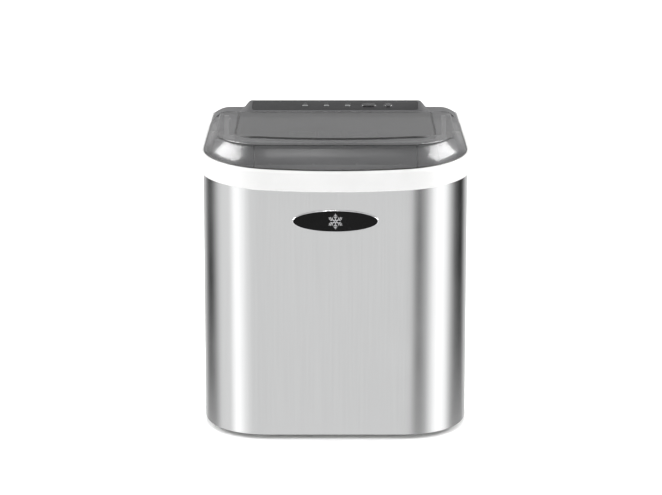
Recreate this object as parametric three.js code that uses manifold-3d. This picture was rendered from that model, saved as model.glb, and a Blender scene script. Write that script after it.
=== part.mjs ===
// Countertop ice maker: a stainless steel cabinet with a smoky hinged lid, a lift-out ice basket and scoop,
// a tilting water tray under nine cold fingers, and the refrigeration plant behind the tub.
// Millimetres, +Z up, front of the cabinet facing -Y, origin at the middle of the footprint on the worktop.

import * as THREE from 'three';
import { mergeVertices } from 'three/addons/utils/BufferGeometryUtils.js';
import Module from 'manifold-3d';

const wasm = await Module();
wasm.setup();

// ---------------------------------------------------------------- driving dimensions

const GAP = 0.3;                     // clearance between pieces that touch
const WELD = 1e-4;                   // distance within which vertices are the same

const CABINET = {
  width: 290,                        // over the collar
  depth: 364,
  cornerAcross: 72,                  // plan size of the two elliptical front corners
  cornerDeep: 92,
  rearRadius: 14,
  smile: 7.5,                        // how far the collar rises from the middle to each side
};
const HALF_WIDTH = CABINET.width / 2;
const HALF_DEPTH = CABINET.depth / 2;

const FOOT = { radius: 13, height: 3.7, x: 100, y: 140 };
const BASE = { bottom: 4, floor: 3, rim: 12 };
const STEEL = { inset: 4, thickness: 1.2, bottom: 4.6, top: 280, flangeEdge: 112 };
const COLLAR = {
  bottom: 267.6, top: 289.4, innerInset: 10, innerBottom: 272,
  ledge: 287.5, ledgeInset: 4.4,     // the step inside the rim that the lid rests over
};

const LID = {
  inset: 5,                          // set in from the outside of the collar
  rear: 30.5,
  bottom: 288,
  top: 318.4,
  fall: 3,                           // how much lower the top is at the hinge than at the front
  wall: 2.6,
};
const WINDOW = {
  halfWidth: 106, front: -151, rear: 27, thickness: 3,
  bow: 11.5,                         // how far the middle of its front edge stands forward
  cornerAcross: 24, cornerDeep: 38, rearRadius: 5,
  ledge: 4,                          // width of the seat that carries the pane
};
const HINGE = {
  y: 25, z: 308, pinRadius: 2, pinStart: 116.5, pinEnd: 129,
  swing: 12.3,                       // radius round the pin inside which the lid may fill
  ear: { from: 123.4, to: 127.4, radius: 4.6, rootTop: 313.4 },
  bracket: { from: 118, to: 122.8, radius: 3.9 },
};

const TUB = {
  halfWidth: 112, front: -152, rear: 24, radius: 17, wall: 3,
  floor: 58, deckBottom: 280.5, deckTop: 283.5, ledge: 99, deckRear: 34,
};
const RESERVOIR = { halfWidth: 98, front: -138, rear: 12, radius: 10 };

const TRAY = {
  axisY: -14, axisZ: 222,
  halfWidth: 86, front: -62, rear: -18, bottom: 190, top: 226, wall: 2,
  axleRadius: 3, axleEnd: 94, hubWall: 2.5,
};
const COMB = { spineHalf: 80, reach: 23, height: 4, toothHalf: 1.5 };
const FINGER = { count: 9, pitch: 17, radius: 5, tip: 198, y: -39, headerZ: 242, headerRadius: 6 };

const BASKET = { halfWidth: 102, front: -148, rear: -72, bottom: 99.6, top: 198, wall: 2, radius: 10 };

const REAR_COVER = { front: 35, rear: 177, wall: 2.5 };
const CONSOLE = { halfWidth: 106.5, footY: 37, footZ: 315.2, crestY: 63, crestZ: 321.8, endRun: 10 };
const SLOPE = Math.atan2(CONSOLE.crestZ - CONSOLE.footZ, CONSOLE.crestY - CONSOLE.footY);

const REAR_PANEL = { halfWidth: 126.5, front: 173.4, back: 176.3, bottom: 17, top: 271.3 };
const VENT = { yMid: 112, zMid: 112, depth: 116, height: 150 };

const COLOURS = {
  steel: { color: 0xc4c6c8, roughness: 0.28, metalness: 1 },
  white: { color: 0xf4f4f2, roughness: 0.35, metalness: 0 },
  smoke: { color: 0x6f7072, roughness: 0.12, metalness: 0 },
  charcoal: { color: 0x46474a, roughness: 0.5, metalness: 0 },
  black: { color: 0x151517, roughness: 0.35, metalness: 0 },
  rubber: { color: 0x222222, roughness: 0.85, metalness: 0 },
  chrome: { color: 0xd8d9da, roughness: 0.15, metalness: 1 },
  copper: { color: 0xb8703f, roughness: 0.3, metalness: 1 },
  aluminium: { color: 0xb5b8bb, roughness: 0.4, metalness: 1 },
  board: { color: 0x1f6b3b, roughness: 0.5, metalness: 0 },
  foam: { color: 0xefe9d8, roughness: 0.95, metalness: 0 },
  lens: { color: 0xdfe4e2, roughness: 0.2, metalness: 0 },
  clear: { color: 0xc9d3d8, roughness: 0.15, metalness: 0 },
};

// ---------------------------------------------------------------- solids

// A manifold solid from any closed three.js geometry.
function solid(geometry) {
  const bare = geometry.index ? geometry.toNonIndexed() : geometry.clone();
  bare.deleteAttribute('normal');
  bare.deleteAttribute('uv');
  const welded = mergeVertices(bare, WELD);
  return new wasm.Manifold(new wasm.Mesh({
    numProp: 3,
    vertProperties: Float32Array.from(welded.attributes.position.array),
    triVerts: Uint32Array.from(welded.index.array),
  }));
}

function geometryOf(body) {
  const mesh = body.getMesh();
  const geometry = new THREE.BufferGeometry();
  geometry.setAttribute('position', new THREE.BufferAttribute(mesh.vertProperties, 3));
  geometry.setIndex(new THREE.BufferAttribute(mesh.triVerts, 1));
  return geometry;
}

const asSolid = (shape) => (shape.isBufferGeometry ? solid(shape) : shape);
const join = (...parts) => parts.map(asSolid).reduce((whole, part) => whole.add(part));
const cut = (whole, ...tools) => (
  tools.map(asSolid).reduce((rest, tool) => rest.subtract(tool), asSolid(whole)));

// Six times the signed volume, negative when the faces point in.
function signedVolume(points, faces) {
  const triple = ([a, b, c]) => points[a].dot(new THREE.Vector3().crossVectors(points[b], points[c]));
  return faces.reduce((sum, face) => sum + triple(face), 0);
}

// A closed geometry from points and triangles, turned so that its faces point out.
function closedGeometry(points, faces) {
  const outward = signedVolume(points, faces) > 0;
  const order = outward ? faces : faces.map(([a, b, c]) => [a, c, b]);
  const geometry = new THREE.BufferGeometry().setFromPoints(points);
  geometry.setIndex(order.flat());
  return geometry;
}

// Quads, as triangle pairs, between each ring and the next; all the rings have the same number of points.
function bandFaces(ringCount, size, loops) {
  const faces = [];
  const bands = loops ? ringCount : ringCount - 1;
  for (let ring = 0; ring < bands; ring += 1) {
    const next = (ring + 1) % ringCount;
    for (let i = 0; i < size; i += 1) {
      const j = (i + 1) % size;
      faces.push([ring * size + i, ring * size + j, next * size + j]);
      faces.push([ring * size + i, next * size + j, next * size + i]);
    }
  }
  return faces;
}

// A skin through rings that come back to the first one, such as a collar or an open shell.
function loftLoop(rings) {
  return closedGeometry(rings.flat(), bandFaces(rings.length, rings[0].length, true));
}

// Triangles that fill a ring, turned the way the ring runs.
function capFaces(ring, flatten) {
  const flat = ring.map(flatten);
  const ringTurns = THREE.ShapeUtils.isClockWise(flat);
  return THREE.ShapeUtils.triangulateShape(flat, []).map(([a, b, c]) => {
    const faceTurns = THREE.ShapeUtils.isClockWise([flat[a], flat[b], flat[c]]);
    return faceTurns === ringTurns ? [a, b, c] : [a, c, b];
  });
}

// A skin through rings from end to end, with both ends closed; flatten tells where a ring point lies in the
// plane of its ring.
function loftCapped(rings, flatten) {
  const size = rings[0].length;
  const lastStart = (rings.length - 1) * size;
  const firstCap = capFaces(rings[0], flatten).map(([a, b, c]) => [a, c, b]);
  const lastCap = capFaces(rings.at(-1), flatten).map((face) => face.map((index) => index + lastStart));
  return closedGeometry(rings.flat(), [...bandFaces(rings.length, size, false), ...firstCap, ...lastCap]);
}

// ---------------------------------------------------------------- small building blocks

function box([x0, x1], [y0, y1], [z0, z1]) {
  const geometry = new THREE.BoxGeometry(x1 - x0, y1 - y0, z1 - z0);
  return geometry.translate((x0 + x1) / 2, (y0 + y1) / 2, (z0 + z1) / 2);
}

// A flat rounded rectangle pushed up from z0 to z1.
function slab([x0, x1], [y0, y1], [z0, z1], radius, segments = 4) {
  const shape = new THREE.Shape();
  shape.moveTo(x0 + radius, y0);
  shape.lineTo(x1 - radius, y0);
  shape.absarc(x1 - radius, y0 + radius, radius, -Math.PI / 2, 0, false);
  shape.lineTo(x1, y1 - radius);
  shape.absarc(x1 - radius, y1 - radius, radius, 0, Math.PI / 2, false);
  shape.lineTo(x0 + radius, y1);
  shape.absarc(x0 + radius, y1 - radius, radius, Math.PI / 2, Math.PI, false);
  shape.lineTo(x0, y0 + radius);
  shape.absarc(x0 + radius, y0 + radius, radius, Math.PI, Math.PI * 1.5, false);
  const extrusion = { depth: z1 - z0, bevelEnabled: false, curveSegments: segments };
  const geometry = new THREE.ExtrudeGeometry(shape, extrusion);
  return geometry.translate(0, 0, z0);
}

// A round bar along one axis, from start to end.
function rod(axis, radius, start, end, [u, v], segments = 16) {
  const length = end - start;
  const geometry = new THREE.CylinderGeometry(radius, radius, length, segments);
  const middle = (start + end) / 2;
  if (axis === 'x') return geometry.rotateZ(Math.PI / 2).translate(middle, u, v);
  if (axis === 'y') return geometry.translate(u, middle, v);
  return geometry.rotateX(Math.PI / 2).translate(u, v, middle);
}

// A turned piece standing on z, from [radius, height] steps that start and end on the axis.
function turned(profile, x, y, segments = 20) {
  const points = profile.map(([radius, height]) => new THREE.Vector2(radius, height));
  return new THREE.LatheGeometry(points, segments).rotateX(Math.PI / 2).translate(x, y, 0);
}

// A bent bar of round section through the given points.
function bentRod(radius, route, steps, sides = 8) {
  const section = new THREE.Shape().absarc(0, 0, radius, 0, Math.PI * 2, false);
  const stops = route.map((point) => new THREE.Vector3(...point));
  const path = new THREE.CatmullRomCurve3(stops, false, 'centripetal');
  return new THREE.ExtrudeGeometry(section, { extrudePath: path, steps, curveSegments: sides / 2 });
}

const mirrored = (values, side) => (side > 0 ? values : values.map((value) => -value).reverse());

const model = new THREE.Group();

function addPiece(name, shape, finish) {
  const geometry = shape.isBufferGeometry ? shape : geometryOf(shape);
  geometry.computeVertexNormals();
  const mesh = new THREE.Mesh(geometry, new THREE.MeshStandardMaterial(finish));
  mesh.name = name;
  model.add(mesh);
}

// ---------------------------------------------------------------- the cabinet's plan outline

const FRONT_STEPS = 6;
const FRONT_ARC_STEPS = 8;
const REAR_ARC_STEPS = 2;

const easeBetween = (a, b, t) => a + (b - a) * t * t * (3 - 2 * t);

// How far the collar's edges rise at the sides: fully at the front, not at all at the back.
function ledgeRiseAt(y) {
  const sideStart = HALF_DEPTH - CABINET.cornerDeep;
  const towardsBack = Math.max(0, (y + sideStart) / (HALF_DEPTH + sideStart));
  return CABINET.smile * (1 - easeBetween(0, 1, towardsBack));
}

// Points around a rectangle with large elliptical front corners and small round rear ones. Each point also
// tells how far it belongs to the front (1 there, 0 along the sides and rear) and how far the collar rises.
function planOutline({ halfWidth, front, rear, across, deep = across, rearRadius, bow = 0 }) {
  const points = [];
  const straight = halfWidth - across;
  const push = (x, y, frontness) => {
    points.push({ x, y, frontness, rise: ledgeRiseAt(y) * (x / halfWidth) ** 2 });
  };
  const bowAt = (x) => -bow * (1 - (x / straight) ** 2);
  const cornerAt = (turn) => [across * Math.sin(turn), (deep - bow) * (1 - Math.cos(turn))];
  for (let i = 0; i < FRONT_STEPS; i += 1) {
    const x = straight * (2 * i / FRONT_STEPS - 1);
    push(x, front + bow + bowAt(x), 1);
  }
  for (let i = 0; i < FRONT_ARC_STEPS; i += 1) {
    const [out, back] = cornerAt((i / FRONT_ARC_STEPS) * Math.PI / 2);
    push(straight + out, front + bow + back, 1 - i / FRONT_ARC_STEPS);
  }
  push(halfWidth, front + deep, 0);
  for (let i = 0; i <= REAR_ARC_STEPS; i += 1) {
    const turn = (i / REAR_ARC_STEPS) * Math.PI / 2;
    push(halfWidth - rearRadius * (1 - Math.cos(turn)), rear - rearRadius * (1 - Math.sin(turn)), 0);
  }
  for (let i = REAR_ARC_STEPS; i >= 0; i -= 1) {
    const turn = (i / REAR_ARC_STEPS) * Math.PI / 2;
    push(-halfWidth + rearRadius * (1 - Math.cos(turn)), rear - rearRadius * (1 - Math.sin(turn)), 0);
  }
  push(-halfWidth, front + deep, 0);
  for (let i = FRONT_ARC_STEPS - 1; i > 0; i -= 1) {
    const [out, back] = cornerAt((i / FRONT_ARC_STEPS) * Math.PI / 2);
    push(-straight - out, front + bow + back, 1 - i / FRONT_ARC_STEPS);
  }
  return points;
}

// The cabinet's own outline, set in from the outside of the collar.
function cabinetOutline(inset) {
  return planOutline({
    halfWidth: HALF_WIDTH - inset,
    front: -HALF_DEPTH + inset,
    rear: HALF_DEPTH - inset,
    across: CABINET.cornerAcross - inset,
    deep: CABINET.cornerDeep - inset,
    rearRadius: Math.max(CABINET.rearRadius - inset, 2),
  });
}

const flatRing = (outline, z) => outline.map(({ x, y }) => new THREE.Vector3(x, y, z));
const smilingRing = (outline, z) => outline.map(({ x, y, rise }) => new THREE.Vector3(x, y, z + rise));
const inPlan = (point) => new THREE.Vector2(point.x, point.y);

// A straight-sided block on the cabinet outline.
function cabinetBlock(inset, z0, z1) {
  const outline = cabinetOutline(inset);
  return loftCapped([flatRing(outline, z0), flatRing(outline, z1)], inPlan);
}

// ---------------------------------------------------------------- cabinet shell

function baseAndFeet() {
  const inset = STEEL.inset + STEEL.thickness + GAP;
  const rimInset = inset + BASE.floor;
  const pan = cut(
    cabinetBlock(inset, BASE.bottom, BASE.bottom + BASE.rim),
    cabinetBlock(rimInset, BASE.bottom + BASE.floor, BASE.bottom + BASE.rim + 1),
  );
  addPiece('base_pan', pan, COLOURS.white);
  const { radius, height, x, y } = FOOT;
  const profile = [[0, 0], [radius - 1, 0], [radius, 1], [radius - 1.5, height], [0, height]];
  for (const [name, side, end] of [
    ['foot_front_left', -1, -1], ['foot_front_right', 1, -1],
    ['foot_rear_left', -1, 1], ['foot_rear_right', 1, 1],
  ]) {
    addPiece(name, turned(profile, side * x, end * y, 12), COLOURS.rubber);
  }
}

// The hole in each side of the steel that a grille fills.
function ventBox(side, grow, xNear, xFar) {
  const { yMid, zMid, depth, height } = VENT;
  const y = [yMid - depth / 2 - grow, yMid + depth / 2 + grow];
  const z = [zMid - height / 2 - grow, zMid + height / 2 + grow];
  return box(mirrored([xNear, xFar], side), y, z);
}

function steelWrap() {
  const outer = cabinetOutline(STEEL.inset);
  const inner = cabinetOutline(STEEL.inset + STEEL.thickness);
  const ring = loftLoop([
    flatRing(outer, STEEL.bottom), flatRing(outer, STEEL.top),
    flatRing(inner, STEEL.top), flatRing(inner, STEEL.bottom),
  ]);
  const openingX = [-STEEL.flangeEdge, STEEL.flangeEdge];
  const rearOpening = box(openingX, [HALF_DEPTH - 20, HALF_DEPTH], [0, STEEL.top + 10]);
  const reach = [HALF_WIDTH - 10, HALF_WIDTH];
  const vents = [-1, 1].map((side) => ventBox(side, 0, ...reach));
  addPiece('steel_wrap', cut(ring, rearOpening, ...vents), COLOURS.steel);
}

const GRILLE = { proud: 0.8, thickness: 3, slots: 9, slotHeight: 6.8, border: 9 };

// A plate that fills the hole in the steel, with level slots.
function sideGrille(name, side) {
  const outside = HALF_WIDTH - STEEL.inset + GRILLE.proud;
  const face = ventBox(side, -GAP, outside - GRILLE.thickness, outside);
  const pitch = VENT.height / (GRILLE.slots + 1);
  const reach = mirrored([outside - 2 * GRILLE.thickness, outside + GRILLE.thickness], side);
  const halfSlot = VENT.depth / 2 - GRILLE.border;
  const slots = [];
  for (let i = 1; i <= GRILLE.slots; i += 1) {
    const z = VENT.zMid - VENT.height / 2 + i * pitch;
    const opening = [z - GRILLE.slotHeight / 2, z + GRILLE.slotHeight / 2];
    slots.push(box(reach, [VENT.yMid - halfSlot, VENT.yMid + halfSlot], opening));
  }
  addPiece(name, cut(face, ...slots), COLOURS.charcoal);
}

// The white collar: an upside-down channel over the steel's top edge, with a ledge for the lid inside it.
function topCollar() {
  const section = [
    [0.9, COLLAR.bottom], [0, COLLAR.bottom + 1.6], [0, COLLAR.top - 2.6], [1.2, COLLAR.top - 0.4],
    [2.6, COLLAR.top], [COLLAR.ledgeInset - 0.2, COLLAR.top], [COLLAR.ledgeInset, COLLAR.ledge],
    [COLLAR.innerInset, COLLAR.ledge], [COLLAR.innerInset, COLLAR.innerBottom],
    [STEEL.inset + STEEL.thickness + GAP, COLLAR.innerBottom],
    [STEEL.inset + STEEL.thickness + GAP, STEEL.top + GAP + 0.2],
    [STEEL.inset - GAP, STEEL.top + GAP + 0.2], [STEEL.inset - GAP, COLLAR.bottom],
  ];
  const rings = section.map(([inset, z]) => smilingRing(cabinetOutline(inset), z));
  addPiece('top_collar', loftLoop(rings), COLOURS.white);
}

const REAR_SLOT = { rows: 7, lowest: 92, pitch: 17, height: 6, inner: 10, outer: 92 };

function rearPanel() {
  const { halfWidth, front, back, bottom, top } = REAR_PANEL;
  const plate = box([-halfWidth, halfWidth], [front, back], [bottom, top]);
  const through = [front - 2, back + 2];
  const slots = [];
  for (let row = 0; row < REAR_SLOT.rows; row += 1) {
    const z = REAR_SLOT.lowest + row * REAR_SLOT.pitch;
    for (const side of [-1, 1]) {
      slots.push(box(mirrored([REAR_SLOT.inner, REAR_SLOT.outer], side), through, [z, z + REAR_SLOT.height]));
    }
  }
  const drainHole = rod('y', DRAIN.panelHole, ...through, [DRAIN.x, DRAIN.z]);
  const cordHole = rod('y', CORD_INLET.panelHole, ...through, [CORD_INLET.x, CORD_INLET.z]);
  addPiece('rear_panel', cut(plate, ...slots, drainHole, cordHole), COLOURS.charcoal);
}

const SCREW = { headRadius: 4, headHeight: 1.6, slotDepth: 0.8, slotHalf: 2.4, x: 119, low: 30, high: 258 };

// Pan-head screws that hold the steel's rear flanges; each head stands on its flange.
function rearScrews() {
  const flangeBack = HALF_DEPTH - STEEL.inset;
  const start = flangeBack + GAP;
  const end = start + SCREW.headHeight;
  for (const [name, side, z] of [
    ['rear_screw_low_left', -1, SCREW.low], ['rear_screw_low_right', 1, SCREW.low],
    ['rear_screw_high_left', -1, SCREW.high], ['rear_screw_high_right', 1, SCREW.high],
  ]) {
    const x = side * SCREW.x;
    const head = rod('y', SCREW.headRadius, start, end, [x, z], 14);
    const depth = [end - SCREW.slotDepth, end + 1];
    const level = box([x - SCREW.slotHalf, x + SCREW.slotHalf], depth, [z - 0.5, z + 0.5]);
    const upright = box([x - 0.5, x + 0.5], depth, [z - SCREW.slotHalf, z + SCREW.slotHalf]);
    addPiece(name, cut(head, level, upright), COLOURS.chrome);
  }
}

// ---------------------------------------------------------------- tub and its fittings

const TUB_OUTER = {
  halfWidth: TUB.halfWidth + TUB.wall,
  front: TUB.front - TUB.wall,
  rear: TUB.rear + TUB.wall,
};

// The two refrigerant pipes pass through the rear wall of the tub and of its foam.
const PIPE = { x: 92, z: FINGER.headerZ, radius: 5, passRadius: 6.5, evaporatorEnd: 46 };

function pipeHoles(from, to) {
  return [-1, 1].map((side) => rod('y', PIPE.passRadius, from, to, [side * PIPE.x, PIPE.z], 12));
}

const DRAIN = { x: -88, z: 34, tubX: -40, tubY: -20, radius: 6, panelHole: 9 };
const CORD_INLET = { x: 96, z: 44, panelHole: 8.4, bore: 4 };

function innerTub() {
  const { halfWidth, wall, front, rear, floor, deckTop, deckBottom, radius, ledge } = TUB;
  const outer = TUB_OUTER;
  const shellBlock = slab(
    [-outer.halfWidth, outer.halfWidth], [outer.front, outer.rear], [floor - wall, deckBottom + 1],
    radius + wall, 5,
  );
  const deckOutline = planOutline({
    halfWidth: HALF_WIDTH - COLLAR.innerInset - 0.5,
    front: -HALF_DEPTH + COLLAR.innerInset + 0.5,
    rear: TUB.deckRear,
    across: CABINET.cornerAcross - COLLAR.innerInset,
    deep: CABINET.cornerDeep - COLLAR.innerInset,
    rearRadius: 3,
  });
  const deck = loftCapped([flatRing(deckOutline, deckBottom), flatRing(deckOutline, deckTop)], inPlan);
  const upper = slab([-halfWidth, halfWidth], [front, rear], [ledge, deckTop + 5], radius, 5);
  const lower = slab(
    [-RESERVOIR.halfWidth, RESERVOIR.halfWidth], [RESERVOIR.front, RESERVOIR.rear], [floor, ledge + 1],
    RESERVOIR.radius, 3,
  );
  const drainMouth = rod('z', DRAIN.radius, floor - wall - 2, floor + 2, [DRAIN.tubX, DRAIN.tubY], 12);
  const body = cut(join(shellBlock, deck), upper, lower, drainMouth, ...pipeHoles(rear - 2, outer.rear + 2));
  addPiece('inner_tub', body, COLOURS.white);
}

// Moulded foam that fills the space between the tub and the steel.
function tubInsulation() {
  const inset = STEEL.inset + STEEL.thickness + 0.8;
  const rear = TUB_OUTER.rear + 10;
  const outline = planOutline({
    halfWidth: HALF_WIDTH - inset - 0.2,
    front: -HALF_DEPTH + inset + 0.2,
    rear,
    across: CABINET.cornerAcross - inset,
    deep: CABINET.cornerDeep - inset,
    rearRadius: 3,
  });
  const bottom = BASE.bottom + BASE.rim + 30;
  const top = COLLAR.innerBottom - 4;
  const block = loftCapped([flatRing(outline, bottom), flatRing(outline, top)], inPlan);
  const clear = GAP + 0.1;
  const space = slab(
    [-TUB_OUTER.halfWidth - clear, TUB_OUTER.halfWidth + clear],
    [TUB_OUTER.front - clear, TUB_OUTER.rear + clear],
    [TUB.floor - TUB.wall - clear, top + 5], TUB.radius + TUB.wall + clear, 5,
  );
  const drainWay = rod('z', DRAIN.radius + 3.4, bottom - 2, TUB.floor, [DRAIN.tubX, DRAIN.tubY], 12);
  addPiece('tub_insulation', cut(block, space, drainWay, ...pipeHoles(TUB.rear, rear + 2)), COLOURS.foam);
}

// Open pan on an axle along its rear wall; tipped forward, it empties into the reservoir below.
function waterTray() {
  const { halfWidth, front, rear, bottom, top, wall, axisY, axisZ, axleRadius } = TRAY;
  const insideX = [-halfWidth + wall, halfWidth - wall];
  const insideY = [front + wall, rear - wall];
  const pan = slab([-halfWidth, halfWidth], [front, rear], [bottom, top], 8, 3);
  const hollow = slab(insideX, insideY, [bottom + wall, top + 2], 6, 3);
  const hub = rod('x', axleRadius + TRAY.hubWall, -halfWidth, halfWidth, [axisY, axisZ]);
  const fingerRoom = box(insideX, insideY, [bottom + wall, top + 9]);
  const axle = rod('x', axleRadius, -TRAY.axleEnd, TRAY.axleEnd, [axisY, axisZ]);
  addPiece('water_tray', join(cut(join(pan, hub), hollow, fingerRoom), axle), COLOURS.clear);
}

// Comb fixed to the tray's axle: its teeth swing forward between the fingers as the tray tips down.
function iceShovel() {
  const { axisY, axisZ, axleRadius, hubWall } = TRAY;
  const half = COMB.toothHalf;
  const hubTop = axisZ + axleRadius + hubWall + GAP;
  const thickness = [axisY - half, axisY + half];
  const spine = box([-COMB.spineHalf, COMB.spineHalf], thickness, [hubTop, hubTop + COMB.height]);
  const teeth = [];
  for (let i = 0; i <= FINGER.count; i += 1) {
    const x = (i - FINGER.count / 2) * FINGER.pitch;
    teeth.push(box([x - half, x + half], thickness, [hubTop + 3, axisZ + COMB.reach]));
  }
  addPiece('ice_shovel', join(spine, ...teeth), COLOURS.white);
}

// Header tube with nine cold fingers, and two legs that run back through the tub's rear wall.
function evaporator() {
  const { count, pitch, radius, tip, y, headerZ, headerRadius } = FINGER;
  const headerEnd = PIPE.x - 8;
  const header = rod('x', headerRadius, -headerEnd, headerEnd, [y, headerZ], 12);
  const parts = [header];
  const profile = [[0, tip], [radius - 2, tip], [radius, tip + 3], [radius, headerZ], [0, headerZ]];
  for (let i = 0; i < count; i += 1) {
    const x = (i - (count - 1) / 2) * pitch;
    parts.push(turned(profile, x, y, 8));
  }
  for (const side of [-1, 1]) {
    const route = [
      [side * (headerEnd - 4), y, headerZ], [side * (PIPE.x - 4), y + 4, headerZ],
      [side * PIPE.x, y + 14, headerZ], [side * PIPE.x, 0, headerZ],
      [side * PIPE.x, PIPE.evaporatorEnd, headerZ],
    ];
    parts.push(bentRod(PIPE.radius, route, 8));
  }
  addPiece('evaporator', join(...parts), COLOURS.chrome);
}

const BAY_COVER = {
  front: -66, bottom: 256, top: 259.5, apronBottom: 249, ribXs: [-72, -24, 24, 72], ribTop: 262,
};

// White cover over the evaporator bay, resting across the tub below the deck.
function evaporatorCover() {
  const { front, bottom, top, apronBottom, ribXs, ribTop } = BAY_COVER;
  const halfWidth = TUB.halfWidth - GAP;
  const plate = slab([-halfWidth, halfWidth], [front, TUB.rear - TUB.radius], [bottom, top], 3, 2);
  const apron = box([-halfWidth, halfWidth], [front, front + 2.5], [apronBottom, bottom + 1]);
  const ribs = ribXs.map((x) => box([x - 1.5, x + 1.5], [front + 6, 2], [top - 0.5, ribTop]));
  addPiece('evaporator_cover', join(plate, apron, ...ribs), COLOURS.white);
}

const DRIVE = { gearboxRadius: 14, socketDepth: 4, lugHalfDepth: 20, lugHalfHeight: 6, blockHalfDepth: 11 };

// The geared motor that turns the tray's axle, against the tub's left wall, and the bearing at the other end.
function trayDrive() {
  const { axisY, axisZ, axleRadius, axleEnd } = TRAY;
  const axis = [axisY, axisZ];
  const wallX = TUB.halfWidth - GAP;
  const bore = axleRadius + GAP;
  const inner = axleEnd - DRIVE.socketDepth;
  const gearbox = rod('x', DRIVE.gearboxRadius, -wallX, -inner, axis, 16);
  const socket = rod('x', bore, -axleEnd - 1, -inner + 2, axis);
  const lug = box(
    [-wallX, -wallX + 4],
    [axisY - DRIVE.lugHalfDepth, axisY + DRIVE.lugHalfDepth],
    [axisZ - DRIVE.lugHalfHeight, axisZ + DRIVE.lugHalfHeight],
  );
  addPiece('tray_motor', cut(join(gearbox, lug), socket), COLOURS.charcoal);
  const blockY = [axisY - DRIVE.blockHalfDepth, axisY + DRIVE.blockHalfDepth];
  const block = box([inner, wallX], blockY, [axisZ - 14, axisZ + 11]);
  const bearing = rod('x', bore, inner - 2, axleEnd + 1, axis);
  addPiece('tray_bearing', cut(block, bearing), COLOURS.white);
}

const SENSOR = { y: [-116, -96], z: [212, 232], depth: 3, eyeRadius: 4, eyeDepth: 5 };

// Infra-red pair that looks across the top of the basket.
function iceSensors() {
  const wallX = TUB.halfWidth - GAP;
  const eyeAt = [(SENSOR.y[0] + SENSOR.y[1]) / 2, (SENSOR.z[0] + SENSOR.z[1]) / 2];
  for (const [name, side] of [['ice_sensor_left', -1], ['ice_sensor_right', 1]]) {
    const housing = box(mirrored([wallX - SENSOR.depth, wallX], side), SENSOR.y, SENSOR.z);
    const eyeEnds = mirrored([wallX - SENSOR.eyeDepth, wallX - SENSOR.depth + 1], side);
    const eye = rod('x', SENSOR.eyeRadius, ...eyeEnds, eyeAt, 12);
    addPiece(name, join(housing, eye), COLOURS.black);
  }
}

const PUMP = { x: [38, 82], y: [-32, 6], top: 92, outletX: 72, outletY: -6, outletRadius: 5, outletTop: 99 };

// The pump on the reservoir's floor, and the hose that climbs the tub's wall to feed the tray.
function pumpAndHose() {
  const { x, y, top, outletX, outletY, outletRadius, outletTop } = PUMP;
  const body = slab(x, y, [TUB.floor + GAP, top], 6, 2);
  const intake = box([x[0] + 4, x[1] - 4], [y[0] - 4, y[0] + 1], [TUB.floor + 2, 70]);
  const outlet = rod('z', outletRadius, top - 2, outletTop, [outletX, outletY], 10);
  addPiece('water_pump', join(body, intake, outlet), COLOURS.black);
  const route = [
    [outletX, outletY, outletTop + 0.5], [outletX, outletY, 107], [86, 6, 124], [102, 13, 146],
    [104, 15, 175], [104, 15, 205], [104, 14, 232], [103, 6, 247],
    [100, -8, 251.6], [95, -26, 251.8], [85, FINGER.y, 251.8],
  ];
  addPiece('water_hose', bentRod(3, route, 24, 6), COLOURS.clear);
}

// ---------------------------------------------------------------- basket and scoop

function slotRow(count, from, to, makeSlot) {
  const slots = [];
  for (let i = 0; i < count; i += 1) {
    slots.push(makeSlot(from + (to - from) * (i + 0.5) / count));
  }
  return slots;
}

function iceBasket() {
  const { halfWidth, front, rear, bottom, top, wall, radius } = BASKET;
  const shellOutside = slab([-halfWidth, halfWidth], [front, rear], [bottom, top], radius, 3);
  const rim = slab([-halfWidth - 3, halfWidth + 3], [front - 2.5, rear + 2.5], [top - 3, top], radius + 2, 3);
  const inside = slab(
    [-halfWidth + wall, halfWidth - wall], [front + wall, rear - wall], [bottom + wall, top + 2],
    radius - wall, 3,
  );
  const slotZ = [bottom + 18, top - 26];
  const slotSpan = halfWidth - 12;
  const across = [front - 5, rear + 5];
  const along = [-halfWidth - 5, halfWidth + 5];
  const underside = [bottom - 2, bottom + 5];
  const wallSlots = slotRow(8, -slotSpan, slotSpan, (x) => box([x - 3, x + 3], across, slotZ));
  const endSlots = slotRow(3, front + 8, rear - 8, (y) => box(along, [y - 3, y + 3], slotZ));
  const floorY = [front + 14, rear - 14];
  const floorSlots = slotRow(5, -slotSpan, slotSpan, (x) => box([x - 4, x + 4], floorY, underside));
  const basket = cut(join(shellOutside, rim), inside, ...wallSlots, ...endSlots, ...floorSlots);
  addPiece('ice_basket', basket, COLOURS.clear);
}

const SCOOP = { x: [-86, -12], y: [-138, -84], height: 30, wall: 2, handleEnd: 84, handleY: [-120, -102] };

// Scoop lying on the basket's floor: an open-topped, open-ended bowl with a flat handle.
function iceScoop() {
  const { x, y, height, wall, handleEnd, handleY } = SCOOP;
  const floor = BASKET.bottom + BASKET.wall + GAP;
  const aboveTop = floor + height + 10;
  const bowl = slab(x, y, [floor, floor + height], 12, 4);
  const insideX = [x[0] + wall, x[1] - wall];
  const insideY = [y[0] + wall, y[1] - wall];
  const hollow = slab(insideX, insideY, [floor + wall, aboveTop], 10, 4);
  const mouth = box([x[0] - 4, x[0] + 10], [y[0] - 2, y[1] + 2], [floor + 9, aboveTop]);
  const handle = slab([x[1] - 1, handleEnd], handleY, [floor + 22, floor + 28], 8, 4);
  const webY = (handleY[0] + handleY[1]) / 2;
  const handleWeb = box([x[1] - 1, 20], [webY - 1.5, webY + 1.5], [floor + 12, floor + 23]);
  addPiece('ice_scoop', join(cut(bowl, hollow, mouth), handle, handleWeb), COLOURS.clear);
}

// ---------------------------------------------------------------- lid and hinge

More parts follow.
